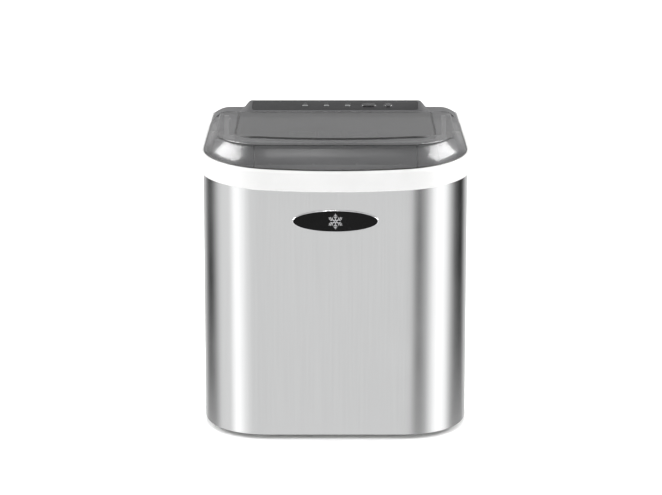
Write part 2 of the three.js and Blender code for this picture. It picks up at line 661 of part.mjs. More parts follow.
// One ring of the lid: set in from the lid's own outline by a side, a front and a rear amount.
function lidRing({ side, front, rear = 0, zFront, zSide, smile = 0, tilt = 0 }) {
  const outline = planOutline({
    halfWidth: HALF_WIDTH - LID.inset - side,
    front: -HALF_DEPTH + LID.inset + front,
    rear: LID.rear - rear,
    across: CABINET.cornerAcross - LID.inset - (side + front) / 2,
    deep: CABINET.cornerDeep - LID.inset - (side + front) / 2,
    rearRadius: 3,
  });
  return outline.map(({ x, y, frontness, rise }) => {
    const z = easeBetween(zSide, zFront, frontness);
    return new THREE.Vector3(x, y, z + smile * rise - tilt * lidFallAt(y));
  });
}

function windowOutline(grow) {
  return planOutline({
    halfWidth: WINDOW.halfWidth + grow,
    front: WINDOW.front - grow,
    rear: WINDOW.rear + grow,
    across: WINDOW.cornerAcross + grow,
    deep: WINDOW.cornerDeep + grow,
    rearRadius: WINDOW.rearRadius + grow,
    bow: WINDOW.bow,
  });
}

// The lid's top falls a little towards the hinge.
const lidFallAt = (y) => LID.fall * (y + HALF_DEPTH) / (LID.rear + HALF_DEPTH);
const lidTopAt = (y) => LID.top - lidFallAt(y);

const windowRing = (grow, below) => windowOutline(grow)
  .map(({ x, y }) => new THREE.Vector3(x, y, lidTopAt(y) - below));

// The outside of the lid's wall and of the lip that overhangs its front, from the foot up.
const LID_OUTSIDE = [
  { side: 0, front: 0, zFront: LID.bottom, zSide: LID.bottom, smile: 1 },
  { side: 0.2, front: 0.3, zFront: 293, zSide: 298 },
  { side: 1.7, front: 1.6, zFront: 298.5, zSide: 302.5 },
  { side: 5, front: 4.2, zFront: 304.5, zSide: 307.2, tilt: 0.3 },
  { side: 8.5, front: 7.8, rear: 0.2, zFront: 310, zSide: 312, tilt: 0.7 },
  { side: 12.4, front: 10.2, rear: 0.6, zFront: 314.4, zSide: 316, tilt: 1 },
  { side: 12.8, front: 5.4, rear: 0.8, zFront: 315.2, zSide: 316.5, tilt: 1 },
  { side: 13.8, front: 5, rear: 1, zFront: 316.8, zSide: 317.1, tilt: 1 },
  { side: 18, front: 8, rear: 1.6, zFront: LID.top, zSide: 317.8, tilt: 1 },
];

// The inside of the lid, from under the window's seat back down to the foot.
const LID_INSIDE = [
  { side: 20, front: 15, rear: 6.6, zFront: 312.9, zSide: 312.9, tilt: 1 },
  { side: 12.4 + LID.wall, front: 10.2 + LID.wall, rear: 3.4, zFront: 311.6, zSide: 312, tilt: 1 },
  { side: 8.5 + LID.wall, front: 7.8 + LID.wall, rear: 3, zFront: 308, zSide: 309.4, tilt: 0.7 },
  { side: 5 + LID.wall, front: 4.2 + LID.wall, rear: LID.wall, zFront: 303, zSide: 305, tilt: 0.3 },
  { side: 1.7 + LID.wall, front: 1.6 + LID.wall, rear: LID.wall, zFront: 298, zSide: 301.5 },
  { side: LID.wall, front: LID.wall, rear: LID.wall, zFront: LID.bottom, zSide: LID.bottom, smile: 1 },
];

// The step that the window's pane sits in.
function windowSeat() {
  const depth = WINDOW.thickness + GAP;
  return [
    windowRing(GAP + 0.4, 0), windowRing(GAP + 0.4, depth),
    windowRing(-WINDOW.ledge, depth), windowRing(-WINDOW.ledge, depth + 2),
  ];
}

// The smoky shell, opened along its rear so that it clears the brackets and the rear cover as it turns.
function lidShell() {
  const shell = loftLoop([...LID_OUTSIDE.map(lidRing), ...windowSeat(), ...LID_INSIDE.map(lidRing)]);
  const axis = [HINGE.y, HINGE.z];
  const under = LID.bottom - 5;
  const behindPin = box([-HALF_WIDTH, HALF_WIDTH], [HINGE.y, LID.rear + 5], [under, HINGE.z]);
  const swing = rod('x', HINGE.swing, -HALF_WIDTH - 1, HALF_WIDTH + 1, axis, 32);
  const bracketRoom = box([-130.5, 130.5], [18, LID.rear + 5], [under, 312.2]);
  const ears = [-1, 1].map(hingeEar);
  const pinHoles = rod('x', HINGE.pinRadius + GAP, -HINGE.pinEnd - 2, HINGE.pinEnd + 2, axis, 12);
  const opened = cut(shell, cut(behindPin, swing), bracketRoom);
  addPiece('lid_shell', cut(join(opened, ...ears), pinHoles), COLOURS.smoke);
}

// A flat ear under the lid's top that turns on the pin.
function hingeEar(side) {
  const { from, to, radius, rootTop } = HINGE.ear;
  const span = mirrored([from, to], side);
  const disc = rod('x', radius, ...span, [HINGE.y, HINGE.z], 16);
  const root = box(span, [HINGE.y - radius, HINGE.y + radius], [HINGE.z, rootTop]);
  return join(disc, root);
}

function lidWindow() {
  const rings = [windowRing(0, WINDOW.thickness), windowRing(0, 0.4), windowRing(-1, -0.2)];
  addPiece('lid_window', loftCapped(rings, inPlan), COLOURS.smoke);
}

// Brackets that stand on the tub's deck and carry the pins that the lid's ears turn on.
function hinges() {
  const deck = TUB.deckTop + GAP;
  const { from, to, radius } = HINGE.bracket;
  const axis = [HINGE.y, HINGE.z];
  for (const [label, side] of [['left', -1], ['right', 1]]) {
    const span = mirrored([from, to], side);
    const post = box(span, [HINGE.y - radius, HINGE.y + 2.6], [deck, HINGE.z]);
    const head = rod('x', radius, ...span, axis, 16);
    const foot = box(mirrored([from - 6, to + 1.2], side), [HINGE.y - 9, HINGE.y + 8.6], [deck, deck + 4]);
    const bore = rod('x', HINGE.pinRadius + GAP, ...mirrored([from - 8, to + 3.2], side), axis, 12);
    addPiece(`hinge_bracket_${label}`, cut(join(post, head, foot), bore), COLOURS.white);
    const pin = rod('x', HINGE.pinRadius, ...mirrored([HINGE.pinStart, HINGE.pinEnd], side), axis, 12);
    addPiece(`hinge_pin_${label}`, pin, COLOURS.chrome);
  }
}

// ---------------------------------------------------------------- rear cover and control panel

// Heights of the cover's shoulders and of its raised middle along the depth, and how far its sides draw in.
const COVER_ROWS = [
  { y: REAR_COVER.front, shoulder: 314.2, crest: 314.8, narrow: 0 },
  { y: CONSOLE.footY, shoulder: 314, crest: CONSOLE.footZ, narrow: 0 },
  { y: CONSOLE.crestY, shoulder: 310.5, crest: CONSOLE.crestZ, narrow: 0 },
  { y: CONSOLE.crestY + 6, shoulder: 309.6, crest: CONSOLE.crestZ - 0.6, narrow: 0 },
  { y: CONSOLE.crestY + 30, shoulder: 306, crest: 316, narrow: 0 },
  { y: 135, shoulder: 300.5, crest: 307.5, narrow: 0 },
  { y: 163, shoulder: 297, crest: 301.5, narrow: 0 },
  { y: 172, shoulder: 295.4, crest: 298.5, narrow: 3 },
  { y: REAR_COVER.rear, shoulder: 293, crest: 294.6, narrow: 9 },
];

// The cover's cross-section at one place along the depth, shrunk by a wall thickness for the inside.
function coverSection({ y, shoulder, crest, narrow }, shrink, base = LID.bottom + ledgeRiseAt(y)) {
  const half = HALF_WIDTH - LID.inset - narrow - shrink;
  const top = shoulder - shrink;
  const raised = Math.max(crest - shrink, top + 0.05);
  const foot = LID.bottom + ledgeRiseAt(y);
  const shoulderAt = (share) => foot + (top - foot) * share;
  const rightHalf = [
    [half, base], [half - 1.7, shoulderAt(0.34)], [half - 5, shoulderAt(0.58)],
    [half - 9, shoulderAt(0.8)], [half - 14, shoulderAt(0.96)], [half - 20, top],
    [CONSOLE.halfWidth + 0.5 - shrink, top + 0.02],
    [CONSOLE.halfWidth - CONSOLE.endRun * 0.7 - shrink, easeBetween(top, raised, 0.75)],
    [CONSOLE.halfWidth - CONSOLE.endRun - 3 - shrink, raised], [50, raised],
  ];
  const leftHalf = rightHalf.map(([x, z]) => [-x, z]).reverse();
  return [...rightHalf, ...leftHalf].map(([x, z]) => new THREE.Vector3(x, y, z));
}

const faceOn = (point) => new THREE.Vector2(point.x, point.z);

// Moves a shape drawn flat at the origin onto the console's slope, with its own y running up the slope.
function onSlope(geometry, x, along, lift) {
  const y = CONSOLE.footY + along * Math.cos(SLOPE) - lift * Math.sin(SLOPE);
  const z = CONSOLE.footZ + along * Math.sin(SLOPE) + lift * Math.cos(SLOPE);
  return geometry.rotateX(SLOPE).translate(x, y, z);
}

const PANEL = { halfWidth: 92, length: 23, thickness: 1.6, along: 13.2, recess: 1.9 };
const INDICATOR = {
  width: 6, height: 3.6, xs: [-33.5, -9.7, 14], names: ['add_water', 'ice_full', 'ice_size'],
};
const BUTTONS = [
  { name: 'select_button', x: 37.7, width: 16, height: 7.5 },
  { name: 'power_button', x: 59.2, width: 9, height: 9 },
];
const BUTTON_TRAVEL = 1.2;
const DISPLAY = { width: 150, length: 18, z: [-9.6, -8] };

function pill(width, height, z, radius = Math.min(width, height) / 2 - 0.01) {
  return slab([-width / 2, width / 2], [-height / 2, height / 2], z, radius, 2);
}

function panelHoles(clear, z) {
  const holes = BUTTONS.map(({ x, width, height }) => (
    onSlope(pill(width + clear, height + clear, z), x, PANEL.along, 0)));
  const lights = INDICATOR.xs.map((x) => (
    onSlope(pill(INDICATOR.width + clear, INDICATOR.height + clear, z), x, PANEL.along, 0)));
  return [...holes, ...lights];
}

function rearCover() {
  const outside = loftCapped(COVER_ROWS.map((row) => coverSection(row, 0)), faceOn);
  const { wall } = REAR_COVER;
  const insideRows = COVER_ROWS.map((row) => ({ ...row }));
  insideRows[0].y += wall;
  insideRows[1].y += wall;
  insideRows.at(-1).y -= wall;
  insideRows.at(-1).shoulder -= 1;
  insideRows.at(-1).crest -= 1;
  const inside = loftCapped(insideRows.map((row) => coverSection(row, wall, 280)), faceOn);
  const seatShape = pill(2 * PANEL.halfWidth + 0.8, PANEL.length + 0.8, [-PANEL.recess, 6], 3);
  const seat = onSlope(seatShape, 0, PANEL.along, 0);
  const shell = cut(outside, inside, seat, ...panelHoles(1, [-8, 3]));
  addPiece('rear_cover', shell, COLOURS.charcoal);
}

function controlPanel() {
  const overlayZ = [-PANEL.recess + GAP, -PANEL.recess + GAP + PANEL.thickness];
  const overlay = onSlope(pill(2 * PANEL.halfWidth, PANEL.length, overlayZ, 2.6), 0, PANEL.along, 0);
  addPiece('control_panel', cut(overlay, ...panelHoles(0.8, [-8, 3])), COLOURS.charcoal);
  const board = onSlope(pill(DISPLAY.width, DISPLAY.length, DISPLAY.z, 2), 0, PANEL.along, 0);
  addPiece('display_board', board, COLOURS.board);
  INDICATOR.xs.forEach((x, i) => {
    const lens = onSlope(pill(INDICATOR.width, INDICATOR.height, [-5, 0.3]), x, PANEL.along, 0);
    addPiece(`indicator_${INDICATOR.names[i]}`, lens, COLOURS.lens);
  });
}

function panelButton({ name, x, width, height }) {
  const cap = onSlope(pill(width, height, [-5.5, BUTTON_TRAVEL]), x, PANEL.along, 0);
  addPiece(name, cap, COLOURS.black);
}

// A plain oval plate on the front of the cabinet.
function badgePlate() {
  const badge = { x: 45, z: 11.8, centre: 236.5, thickness: 1.4 };
  const face = -HALF_DEPTH + STEEL.inset - GAP;
  const shape = new THREE.Shape().absellipse(0, 0, badge.x, badge.z, 0, Math.PI * 2, false, 0);
  const extrusion = { depth: badge.thickness, bevelEnabled: false, curveSegments: 16 };
  const plate = new THREE.ExtrudeGeometry(shape, extrusion);
  plate.rotateX(Math.PI / 2).translate(0, face, badge.centre);
  addPiece('badge_plate', plate, COLOURS.black);
}

// ---------------------------------------------------------------- refrigeration plant

const COMPRESSOR = { x: 62, y: 106, radius: 50, bottom: 20, shoulder: 125, top: 152 };

function compressor() {
  const { x, y, radius, bottom, shoulder, top } = COMPRESSOR;
  const can = turned([
    [0, bottom + 5], [radius * 0.75, bottom + 5], [radius, bottom + 20], [radius, shoulder],
    [radius * 0.93, shoulder + 11], [radius * 0.7, top - 5], [radius * 0.3, top], [0, top],
  ], x, y, 24);
  const feet = slab([x - 50, x + 50], [y - 44, y + 44], [bottom + 2, bottom + 8], 10, 2);
  const terminals = box([x - 62, x - 40], [y - 18, y + 18], [70, 108]);
  const base = BASE.bottom + BASE.floor + GAP;
  const grommets = [-40, 40].flatMap((dx) => [-34, 34].map((dy) => (
    turned([[0, base], [8, base], [6, bottom - 6], [8, bottom + 3], [0, bottom + 3]], x + dx, y + dy, 10))));
  addPiece('compressor', join(can, feet, terminals, ...grommets), COLOURS.black);
}

const COIL = { x0: -135, x1: -113, y0: 58, y1: 166, z0: 46, z1: 186 };
const FAN = { x0: -109, x1: -88, y: 112, z: 112, radius: 50, hub: 15 };

// A fin pack: level fins on a common core.
function condenser() {
  const finCount = 15;
  const pitch = (COIL.z1 - COIL.z0) / finCount;
  const core = box([COIL.x0 + 7, COIL.x1 - 7], [COIL.y0 + 4, COIL.y1 - 4], [COIL.z0, COIL.z1]);
  const fins = [];
  for (let i = 0; i < finCount; i += 1) {
    const z = COIL.z0 + (i + 0.5) * pitch;
    fins.push(box([COIL.x0, COIL.x1], [COIL.y0, COIL.y1], [z - 1.2, z + 1.2]));
  }
  addPiece('condenser', join(core, ...fins), COLOURS.aluminium);
}

function fanShroud() {
  const frame = box([FAN.x0, FAN.x1], [COIL.y0, COIL.y1], [FAN.z - 56, FAN.z + 56]);
  const ring = rod('x', FAN.radius + 2, FAN.x0 - 1, FAN.x1 + 1, [FAN.y, FAN.z], 32);
  const armEnds = [FAN.x1 - 3.5, FAN.x1];
  const upright = box(armEnds, [FAN.y - 4, FAN.y + 4], [FAN.z - 54, FAN.z + 54]);
  const level = box(armEnds, [FAN.y - 53, FAN.y + 53], [FAN.z - 4, FAN.z + 4]);
  const hubHole = rod('x', 5, FAN.x0, FAN.x1 + 5, [FAN.y, FAN.z], 12);
  addPiece('fan_shroud', cut(join(cut(frame, ring), upright, level), hubHole), COLOURS.black);
  const motor = rod('x', 22, FAN.x1 + GAP, FAN.x1 + 30, [FAN.y, FAN.z], 20);
  addPiece('fan_motor', motor, COLOURS.aluminium);
}

// Five pitched blades on a hub, with the shaft that enters the motor.
function fanBlades() {
  const bladeEnds = [FAN.x0 + 2, FAN.x1 - 6];
  const parts = [rod('x', FAN.hub, ...bladeEnds, [0, 0], 20)];
  parts.push(rod('x', 3, bladeEnds[1] - 2, FAN.x1 - 0.6, [0, 0], 12));
  const middle = (bladeEnds[0] + bladeEnds[1]) / 2;
  const bladeCount = 5;
  for (let i = 0; i < bladeCount; i += 1) {
    const blade = new THREE.BoxGeometry(1.8, 22, FAN.radius - FAN.hub);
    blade.rotateZ(0.45).translate(middle, 0, (FAN.radius + FAN.hub) / 2 - 2);
    parts.push(blade.translate(-middle, 0, 0).rotateX(i * Math.PI * 2 / bladeCount).translate(middle, 0, 0));
  }
  addPiece('fan_blades', geometryOf(join(...parts)).translate(0, FAN.y, FAN.z), COLOURS.white);
}

// Filter drier, hot gas valve and the pipes between compressor, condenser and evaporator.
function pipework() {
  const drier = { x: -52, y: 150, z0: 96, z1: 168 };
  const drierBody = turned([
    [0, drier.z0], [4, drier.z0], [9, drier.z0 + 8], [9, drier.z1 - 8], [4, drier.z1], [0, drier.z1],
  ], drier.x, drier.y, 14);
  addPiece('filter_drier', drierBody, COLOURS.copper);
  const valveCoil = box([-14, 14], [52, 76], [196, 226]);
  const valveStem = rod('z', 5, 180, 197, [0, 64], 12);
  addPiece('gas_valve', join(valveCoil, valveStem), COLOURS.chrome);
  const canTop = COMPRESSOR.top;
  const discharge = [
    [COMPRESSOR.x - 14, COMPRESSOR.y, canTop + GAP], [COMPRESSOR.x - 14, COMPRESSOR.y, 166],
    [20, 118, 190], [-30, 122, 198], [-80, 120, 204], [-116, 116, 204], [-124, 112, 196],
    [-124, 112, COIL.z1 + GAP],
  ];
  addPiece('discharge_pipe', bentRod(3, discharge, 20, 6), COLOURS.copper);
  const suction = [
    [PIPE.x, PIPE.evaporatorEnd + GAP, PIPE.z], [PIPE.x, 58, PIPE.z], [PIPE.x + 2, 78, PIPE.z - 4],
    [PIPE.x + 2, 92, 220], [88, 100, 190], [77, 105, 172], [76, 106, 162], [76, 106, canTop + GAP],
  ];
  addPiece('suction_pipe', bentRod(4, suction, 16, 6), COLOURS.copper);
  const liquid = [
    [-124, 112, COIL.z0 - GAP], [-124, 112, 40], [-119, 112, 34], [-104, 112, 32], [-74, 112, 33],
    [-56, 124, 36], [drier.x, 142, 48], [drier.x, drier.y, 70], [drier.x, drier.y, drier.z0 - GAP],
  ];
  addPiece('liquid_pipe', bentRod(3, liquid, 20, 6), COLOURS.copper);
  const feed = [
    [drier.x, drier.y, drier.z1 + GAP], [drier.x, drier.y - 2, 182], [-60, 136, 212], [-84, 110, 236],
    [-PIPE.x, 76, PIPE.z], [-PIPE.x, PIPE.evaporatorEnd + GAP, PIPE.z],
  ];
  addPiece('feed_pipe', bentRod(2, feed, 18, 6), COLOURS.copper);
}

const MAIN_BOARD = { x: [-62, 62], y: [66, 156], bottom: 258, thickness: 1.6 };

// The main board with its transformer, relays and capacitors.
function mainBoard() {
  const { x, y, bottom, thickness } = MAIN_BOARD;
  const board = box(x, y, [bottom, bottom + thickness]);
  const seat = bottom + 1;
  const blocks = [
    box([-52, -22], [80, 108], [seat, 282]),
    box([-10, 8], [76, 92], [seat, 274]),
    box([20, 34], [74, 92], [seat, 276]),
    box([-50, -30], [122, 146], [seat, 272]),
    box([14, 50], [126, 148], [seat, 270]),
  ];
  const cans = [[0, 118], [-12, 136]].map((at) => rod('z', 7, seat, 278, at, 12));
  addPiece('main_board', join(board, ...blocks, ...cans), COLOURS.board);
}

// The drain hose runs under the foam and the plant to a capped spout low on the rear panel.
function drainage() {
  const start = TUB.floor - TUB.wall;
  const spoutFront = REAR_PANEL.front - 10;
  const hoseRadius = 7;
  const hose = [
    [DRAIN.tubX, DRAIN.tubY, start - GAP], [DRAIN.tubX, DRAIN.tubY, start - 12], [-44, -8, 32],
    [-56, 20, 27], [-66, 60, 19], [-76, 110, 19], [DRAIN.x, 140, 26], [DRAIN.x, spoutFront - 6, DRAIN.z],
    [DRAIN.x, spoutFront - GAP, DRAIN.z],
  ];
  addPiece('drain_hose', bentRod(hoseRadius, hose, 20, 8), COLOURS.clear);
  const back = REAR_PANEL.back;
  const flange = rod('y', 12, back + GAP, back + 2, [DRAIN.x, DRAIN.z], 20);
  const tube = rod('y', 8.6, spoutFront, back + 1, [DRAIN.x, DRAIN.z], 16);
  const bore = rod('y', 5.4, spoutFront + 2, back + 5, [DRAIN.x, DRAIN.z], 16);
  addPiece('drain_spout', cut(join(flange, tube), bore), COLOURS.white);
  const capStart = back + 2 + GAP;
  const disc = rod('y', 10.5, capStart, HALF_DEPTH, [DRAIN.x, DRAIN.z], 20);
  const grip = box([DRAIN.x - 13, DRAIN.x + 13], [capStart, HALF_DEPTH], [DRAIN.z - 3, DRAIN.z + 3]);
  const stem = rod('y', 5, spoutFront + 6, capStart + 1, [DRAIN.x, DRAIN.z], 14);
  addPiece('drain_cap', join(disc, grip, stem), COLOURS.charcoal);
}

// The gland where the mains lead enters; it is open down its middle.
function cordGland() {
  const { front, back } = REAR_PANEL;
  const at = [CORD_INLET.x, CORD_INLET.z];
  const flange = rod('y', 12, back + GAP, HALF_DEPTH - 1, at, 20);
  const body = rod('y', 8, front - 8, back + 1, at, 16);
  const bore = rod('y', CORD_INLET.bore, front - 10, HALF_DEPTH + 2, at, 14);
  addPiece('cord_gland', cut(join(flange, body), bore), COLOURS.black);
}

// ---------------------------------------------------------------- assembly

baseAndFeet();
steelWrap();
sideGrille('side_grille_left', -1);
sideGrille('side_grille_right', 1);
topCollar();
rearPanel();
rearScrews();
innerTub();
tubInsulation();
waterTray();
iceShovel();
evaporator();
evaporatorCover();
trayDrive();
iceSensors();
pumpAndHose();

iceBasket();
iceScoop();

lidShell();
lidWindow();
hinges();

rearCover();
controlPanel();
BUTTONS.forEach(panelButton);
badgePlate();

compressor();
condenser();
fanShroud();
fanBlades();
pipework();
mainBoard();
drainage();
cordGland();

export default model;
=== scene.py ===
import math

import bmesh
import bpy
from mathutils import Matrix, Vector


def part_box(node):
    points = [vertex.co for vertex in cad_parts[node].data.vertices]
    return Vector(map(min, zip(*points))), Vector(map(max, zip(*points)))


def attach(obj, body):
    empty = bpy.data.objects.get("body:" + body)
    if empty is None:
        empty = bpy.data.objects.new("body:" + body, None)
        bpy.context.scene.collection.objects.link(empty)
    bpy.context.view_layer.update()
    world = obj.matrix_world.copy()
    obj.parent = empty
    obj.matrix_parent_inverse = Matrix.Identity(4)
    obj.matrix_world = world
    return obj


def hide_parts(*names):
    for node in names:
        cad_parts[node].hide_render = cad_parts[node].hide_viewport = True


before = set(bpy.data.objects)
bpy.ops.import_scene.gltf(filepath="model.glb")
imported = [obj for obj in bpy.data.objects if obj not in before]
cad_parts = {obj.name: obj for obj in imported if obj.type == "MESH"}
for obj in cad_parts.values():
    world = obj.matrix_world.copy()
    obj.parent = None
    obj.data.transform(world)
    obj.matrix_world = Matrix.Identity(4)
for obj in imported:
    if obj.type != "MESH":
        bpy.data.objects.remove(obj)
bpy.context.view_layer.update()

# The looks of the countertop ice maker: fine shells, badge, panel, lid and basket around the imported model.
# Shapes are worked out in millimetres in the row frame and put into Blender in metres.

MM = 0.001


def box_mm(node):
    """Lowest and highest corners of a CAD node, in millimetres."""
    low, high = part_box(node)
    return low / MM, high / MM


# ---------------- shared dimensions, in millimetres

STEEL_LOW, STEEL_HIGH = box_mm("steel_wrap")
BADGE_LOW, BADGE_HIGH = box_mm("badge_plate")
GRILLE_LOW, GRILLE_HIGH = box_mm("side_grille_right")
HALF_WIDTH, HALF_DEPTH, _ = box_mm("top_collar")[1]

CORNER_ACROSS = 74.0                 # plan size of the front corners
CORNER_DEEP = 94.0
CORNER_POWER = 2.2                   # above 2, the corner eases into the flat front
REAR_RADIUS = 14.0
OUTLINE_STEPS = {"half_front": 14, "corner": 20, "side": 14, "rear_corner": 6}
SMILE = 7.5                          # how far the collar rises from its middle to the sides
SMILE_FRONT_Y, SMILE_RUN = -90.0, 272.0    # where that rise starts to fade, and over what depth it does
STEEL_INSET = HALF_WIDTH - STEEL_HIGH.x
STEEL_THICKNESS = 1.2
LID_INSET = 5.0
LID_FOOT = 288.0
LID_TOP = 318.4
LID_FALL = 3.0                       # how far the lid's top drops from its front to its rear

HINGE_Y, HINGE_Z = 25.0, 308.0
CONSOLE_FOOT_Y, CONSOLE_FOOT_Z = 37.0, 315.2
CONSOLE_CREST_Y, CONSOLE_CREST_Z = 63.0, 321.8
SLOPE = math.atan2(CONSOLE_CREST_Z - CONSOLE_FOOT_Z, CONSOLE_CREST_Y - CONSOLE_FOOT_Y)
PANEL_ALONG = 13.2                   # from the console's foot to the middle of its panel


# ---------------- mesh helpers

def linked(name, data):
    """A new object in the scene, for a mesh, a light or a camera."""
    made = bpy.data.objects.new(name, data)
    bpy.context.scene.collection.objects.link(made)
    return made


def mesh_of(name, points, faces):
    """A mesh, in metres, from points in millimetres."""
    mesh = bpy.data.meshes.new(name)
    mesh.from_pydata([tuple(c * MM for c in p) for p in points], [], faces)
    return mesh


def make_piece(name, points, faces, material, body, replaces=(), sharp=35):
    """A piece from points, smooth except at edges sharper than the given angle in degrees."""
    mesh = mesh_of(name, points, faces)
    mesh.validate()
    return finish_piece(mesh, name, material, body, replaces, sharp)


def finish_piece(mesh, name, material, body, replaces=(), sharp=35):
    """Cleans a mesh, shades it and puts it on its body, in place of the nodes it replaces."""
    tidy = bmesh.new()
    tidy.from_mesh(mesh)
    bmesh.ops.remove_doubles(tidy, verts=tidy.verts, dist=1e-6)
    bmesh.ops.recalc_face_normals(tidy, faces=tidy.faces)
    tidy.to_mesh(mesh)
    tidy.free()
    mesh.name = name
    mesh.shade_smooth()
    mesh.set_sharp_from_angle(angle=math.radians(sharp))
    piece = linked(name, mesh)
    if not mesh.materials:
        mesh.materials.append(material)
    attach(piece, body)
    if replaces:
        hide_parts(*replaces)
    return piece


def steady_normals(piece):
    """Lets the big faces set the shading, so that flat tops stay flat up to their rounded rims."""
    normals = piece.modifiers.new("normals", "WEIGHTED_NORMAL")
    normals.keep_sharp = True


def round_edges(piece, width, angle):
    """Small real radii on a piece's edges, with the big faces kept flat in shading."""
    bevel = piece.modifiers.new("edges", "BEVEL")
    bevel.width = width * MM
    bevel.segments = 2
    bevel.limit_method = "ANGLE"
    bevel.angle_limit = math.radians(angle)
    bevel.harden_normals = False
    bevel.use_clamp_overlap = True
    steady_normals(piece)


def loop_faces(ring_count, size, closed_rings=True, closed_stack=False):
    """Quads between each ring of points and the next one."""
    faces = []
    for ring in range(ring_count if closed_stack else ring_count - 1):
        nxt = (ring + 1) % ring_count
        for i in range(size if closed_rings else size - 1):
            j = (i + 1) % size
            faces.append((ring * size + i, ring * size + j, nxt * size + j, nxt * size + i))
    return faces


def loft(rings, capped=False, closed_stack=False, closed_rings=True):
    """Points and faces of a skin through rings; capped closes both ends with one face each."""
    size = len(rings[0])
    faces = loop_faces(len(rings), size, closed_rings, closed_stack)
    if capped:
        last = (len(rings) - 1) * size
        faces.append(tuple(range(size)))
        faces.append(tuple(last + i for i in reversed(range(size))))
    return [p for ring in rings for p in ring], faces


def merged(parts):
    """One points-and-faces pair from several."""
    points, faces = [], []
    for part_points, part_faces in parts:
        start = len(points)
        points += list(part_points)
        faces += [tuple(start + i for i in face) for face in part_faces]
    return points, faces


def rounded_rectangle(half_x, half_y, radius, steps=6):
    """Points round a rectangle with rounded corners, anticlockwise."""
    points = []
    for quarter, (sx, sy) in enumerate(((1, 1), (-1, 1), (-1, -1), (1, -1))):
        for i in range(steps + 1):
            turn = (quarter + i / steps) * math.pi / 2
            x = sx * (half_x - radius) + radius * math.cos(turn)
            y = sy * (half_y - radius) + radius * math.sin(turn)
            points.append((x, y))
    return points


def rounded_slab(outline, z0, z1, edge, edge_steps=3):
    """A slab on a flat outline whose top rim is rounded off."""
    centre_x = sum(x for x, _ in outline) / len(outline)
    centre_y = sum(y for _, y in outline) / len(outline)
    reach = max(abs(x - centre_x) for x, _ in outline)
    deep = max(abs(y - centre_y) for _, y in outline)

    def ring(shrink, z):
        kx, ky = 1 - shrink / reach, 1 - shrink / deep
        return [(centre_x + (x - centre_x) * kx, centre_y + (y - centre_y) * ky, z) for x, y in outline]

    turns = [i / edge_steps * math.pi / 2 for i in range(edge_steps + 1)]
    top = [ring(edge * (1 - math.cos(t)), z1 - edge + edge * math.sin(t)) for t in turns]
    return loft([ring(0, z0)] + top, capped=True)


def turned(profile, centre, steps):
    """An upright turned solid from (radius, height) steps whose first and last radius is 0."""
    rings = [[(r * math.cos(a), r * math.sin(a), h)
              for a in (2 * math.pi * i / steps for i in range(steps))] for r, h in profile[1:-1]]
    points, faces = loft(rings)
    first, last = len(points), len(points) + 1
    points += [(0, 0, profile[0][1]), (0, 0, profile[-1][1])]
    top = (len(rings) - 1) * steps
    for i in range(steps):
        j = (i + 1) % steps
        faces.append((first, j, i))
        faces.append((last, top + i, top + j))
    return [(x + centre[0], y + centre[1], z) for x, y, z in points], faces


def on_slope(points, along=PANEL_ALONG):
    """Moves points drawn flat at the origin onto the console's slope."""
    cos, sin = math.cos(SLOPE), math.sin(SLOPE)
    return [
        (x, CONSOLE_FOOT_Y + (along + y) * cos - z * sin, CONSOLE_FOOT_Z + (along + y) * sin + z * cos)
        for x, y, z in points
    ]


def catmull(values, steps):
    """A smooth row of values through the given ones, with that many steps between each pair."""
    smooth = []
    for i in range(len(values) - 1):
        before = values[max(i - 1, 0)]
        here, there = values[i], values[i + 1]
        after = values[min(i + 2, len(values) - 1)]
        for k in range(steps):
            t = k / steps
            smooth.append(tuple(
                0.5 * (2 * b + (c - a) * t + (2 * a - 5 * b + 4 * c - d) * t * t
                       + (3 * b - a - 3 * c + d) * t ** 3)
                for a, b, c, d in zip(before, here, there, after)))
    smooth.append(tuple(values[-1]))
    return smooth


# ---------------- the cabinet's plan outline

def plan_outline(half, front, rear, across, deep, rear_radius, bow=0.0):
    """Points (x, y, frontness, rise) around the plan, starting at the middle of the front and going right."""
    straight = half - across
    right = []
    steps = OUTLINE_STEPS["half_front"]
    for i in range(steps):
        x = straight * i / steps
        right.append((x, front + bow * (x / straight) ** 2, 1.0))
    steps = OUTLINE_STEPS["corner"]
    for i in range(steps + 1):
        turn = i / steps * math.pi / 2
        out = math.sin(turn) ** (2 / CORNER_POWER)
        back = math.cos(turn) ** (2 / CORNER_POWER)
        right.append((straight + across * out, front + bow + (deep - bow) * (1 - back), 1 - i / steps))
    steps = OUTLINE_STEPS["side"]
    for i in range(1, steps):
        right.append((half, front + deep + (rear - rear_radius - front - deep) * i / steps, 0.0))
    steps = OUTLINE_STEPS["rear_corner"]
    for i in range(steps + 1):
        turn = i / steps * math.pi / 2
        x = half - rear_radius * (1 - math.cos(turn))
        y = rear - rear_radius * (1 - math.sin(turn))
        right.append((x, y, 0.0))
    left = [(-x, y, f) for x, y, f in reversed(right[1:])]
    points = []
    for x, y, f in right + left:
        points.append((x, y, f, ledge_rise_at(y) * (x / half) ** 2))
    return points


def ledge_rise_at(y):
    """How far the collar's edges rise at the sides: fully at the front, not at all at the back."""
    t = min(max((y - SMILE_FRONT_Y) / SMILE_RUN, 0.0), 1.0)
    return SMILE * (1 - t * t * (3 - 2 * t))


def cabinet_outline(inset):
    """The collar's plan outline, set in by the same amount all round."""
    return plan_outline(
        HALF_WIDTH - inset, -HALF_DEPTH + inset, HALF_DEPTH - inset,
        CORNER_ACROSS - inset, CORNER_DEEP - inset, max(REAR_RADIUS - inset, 2))


def smiling_ring(outline, z):
    """A ring at one height that rises at its sides as the collar does."""
    return [(x, y, z + rise) for x, y, _, rise in outline]


# ---------------- materials

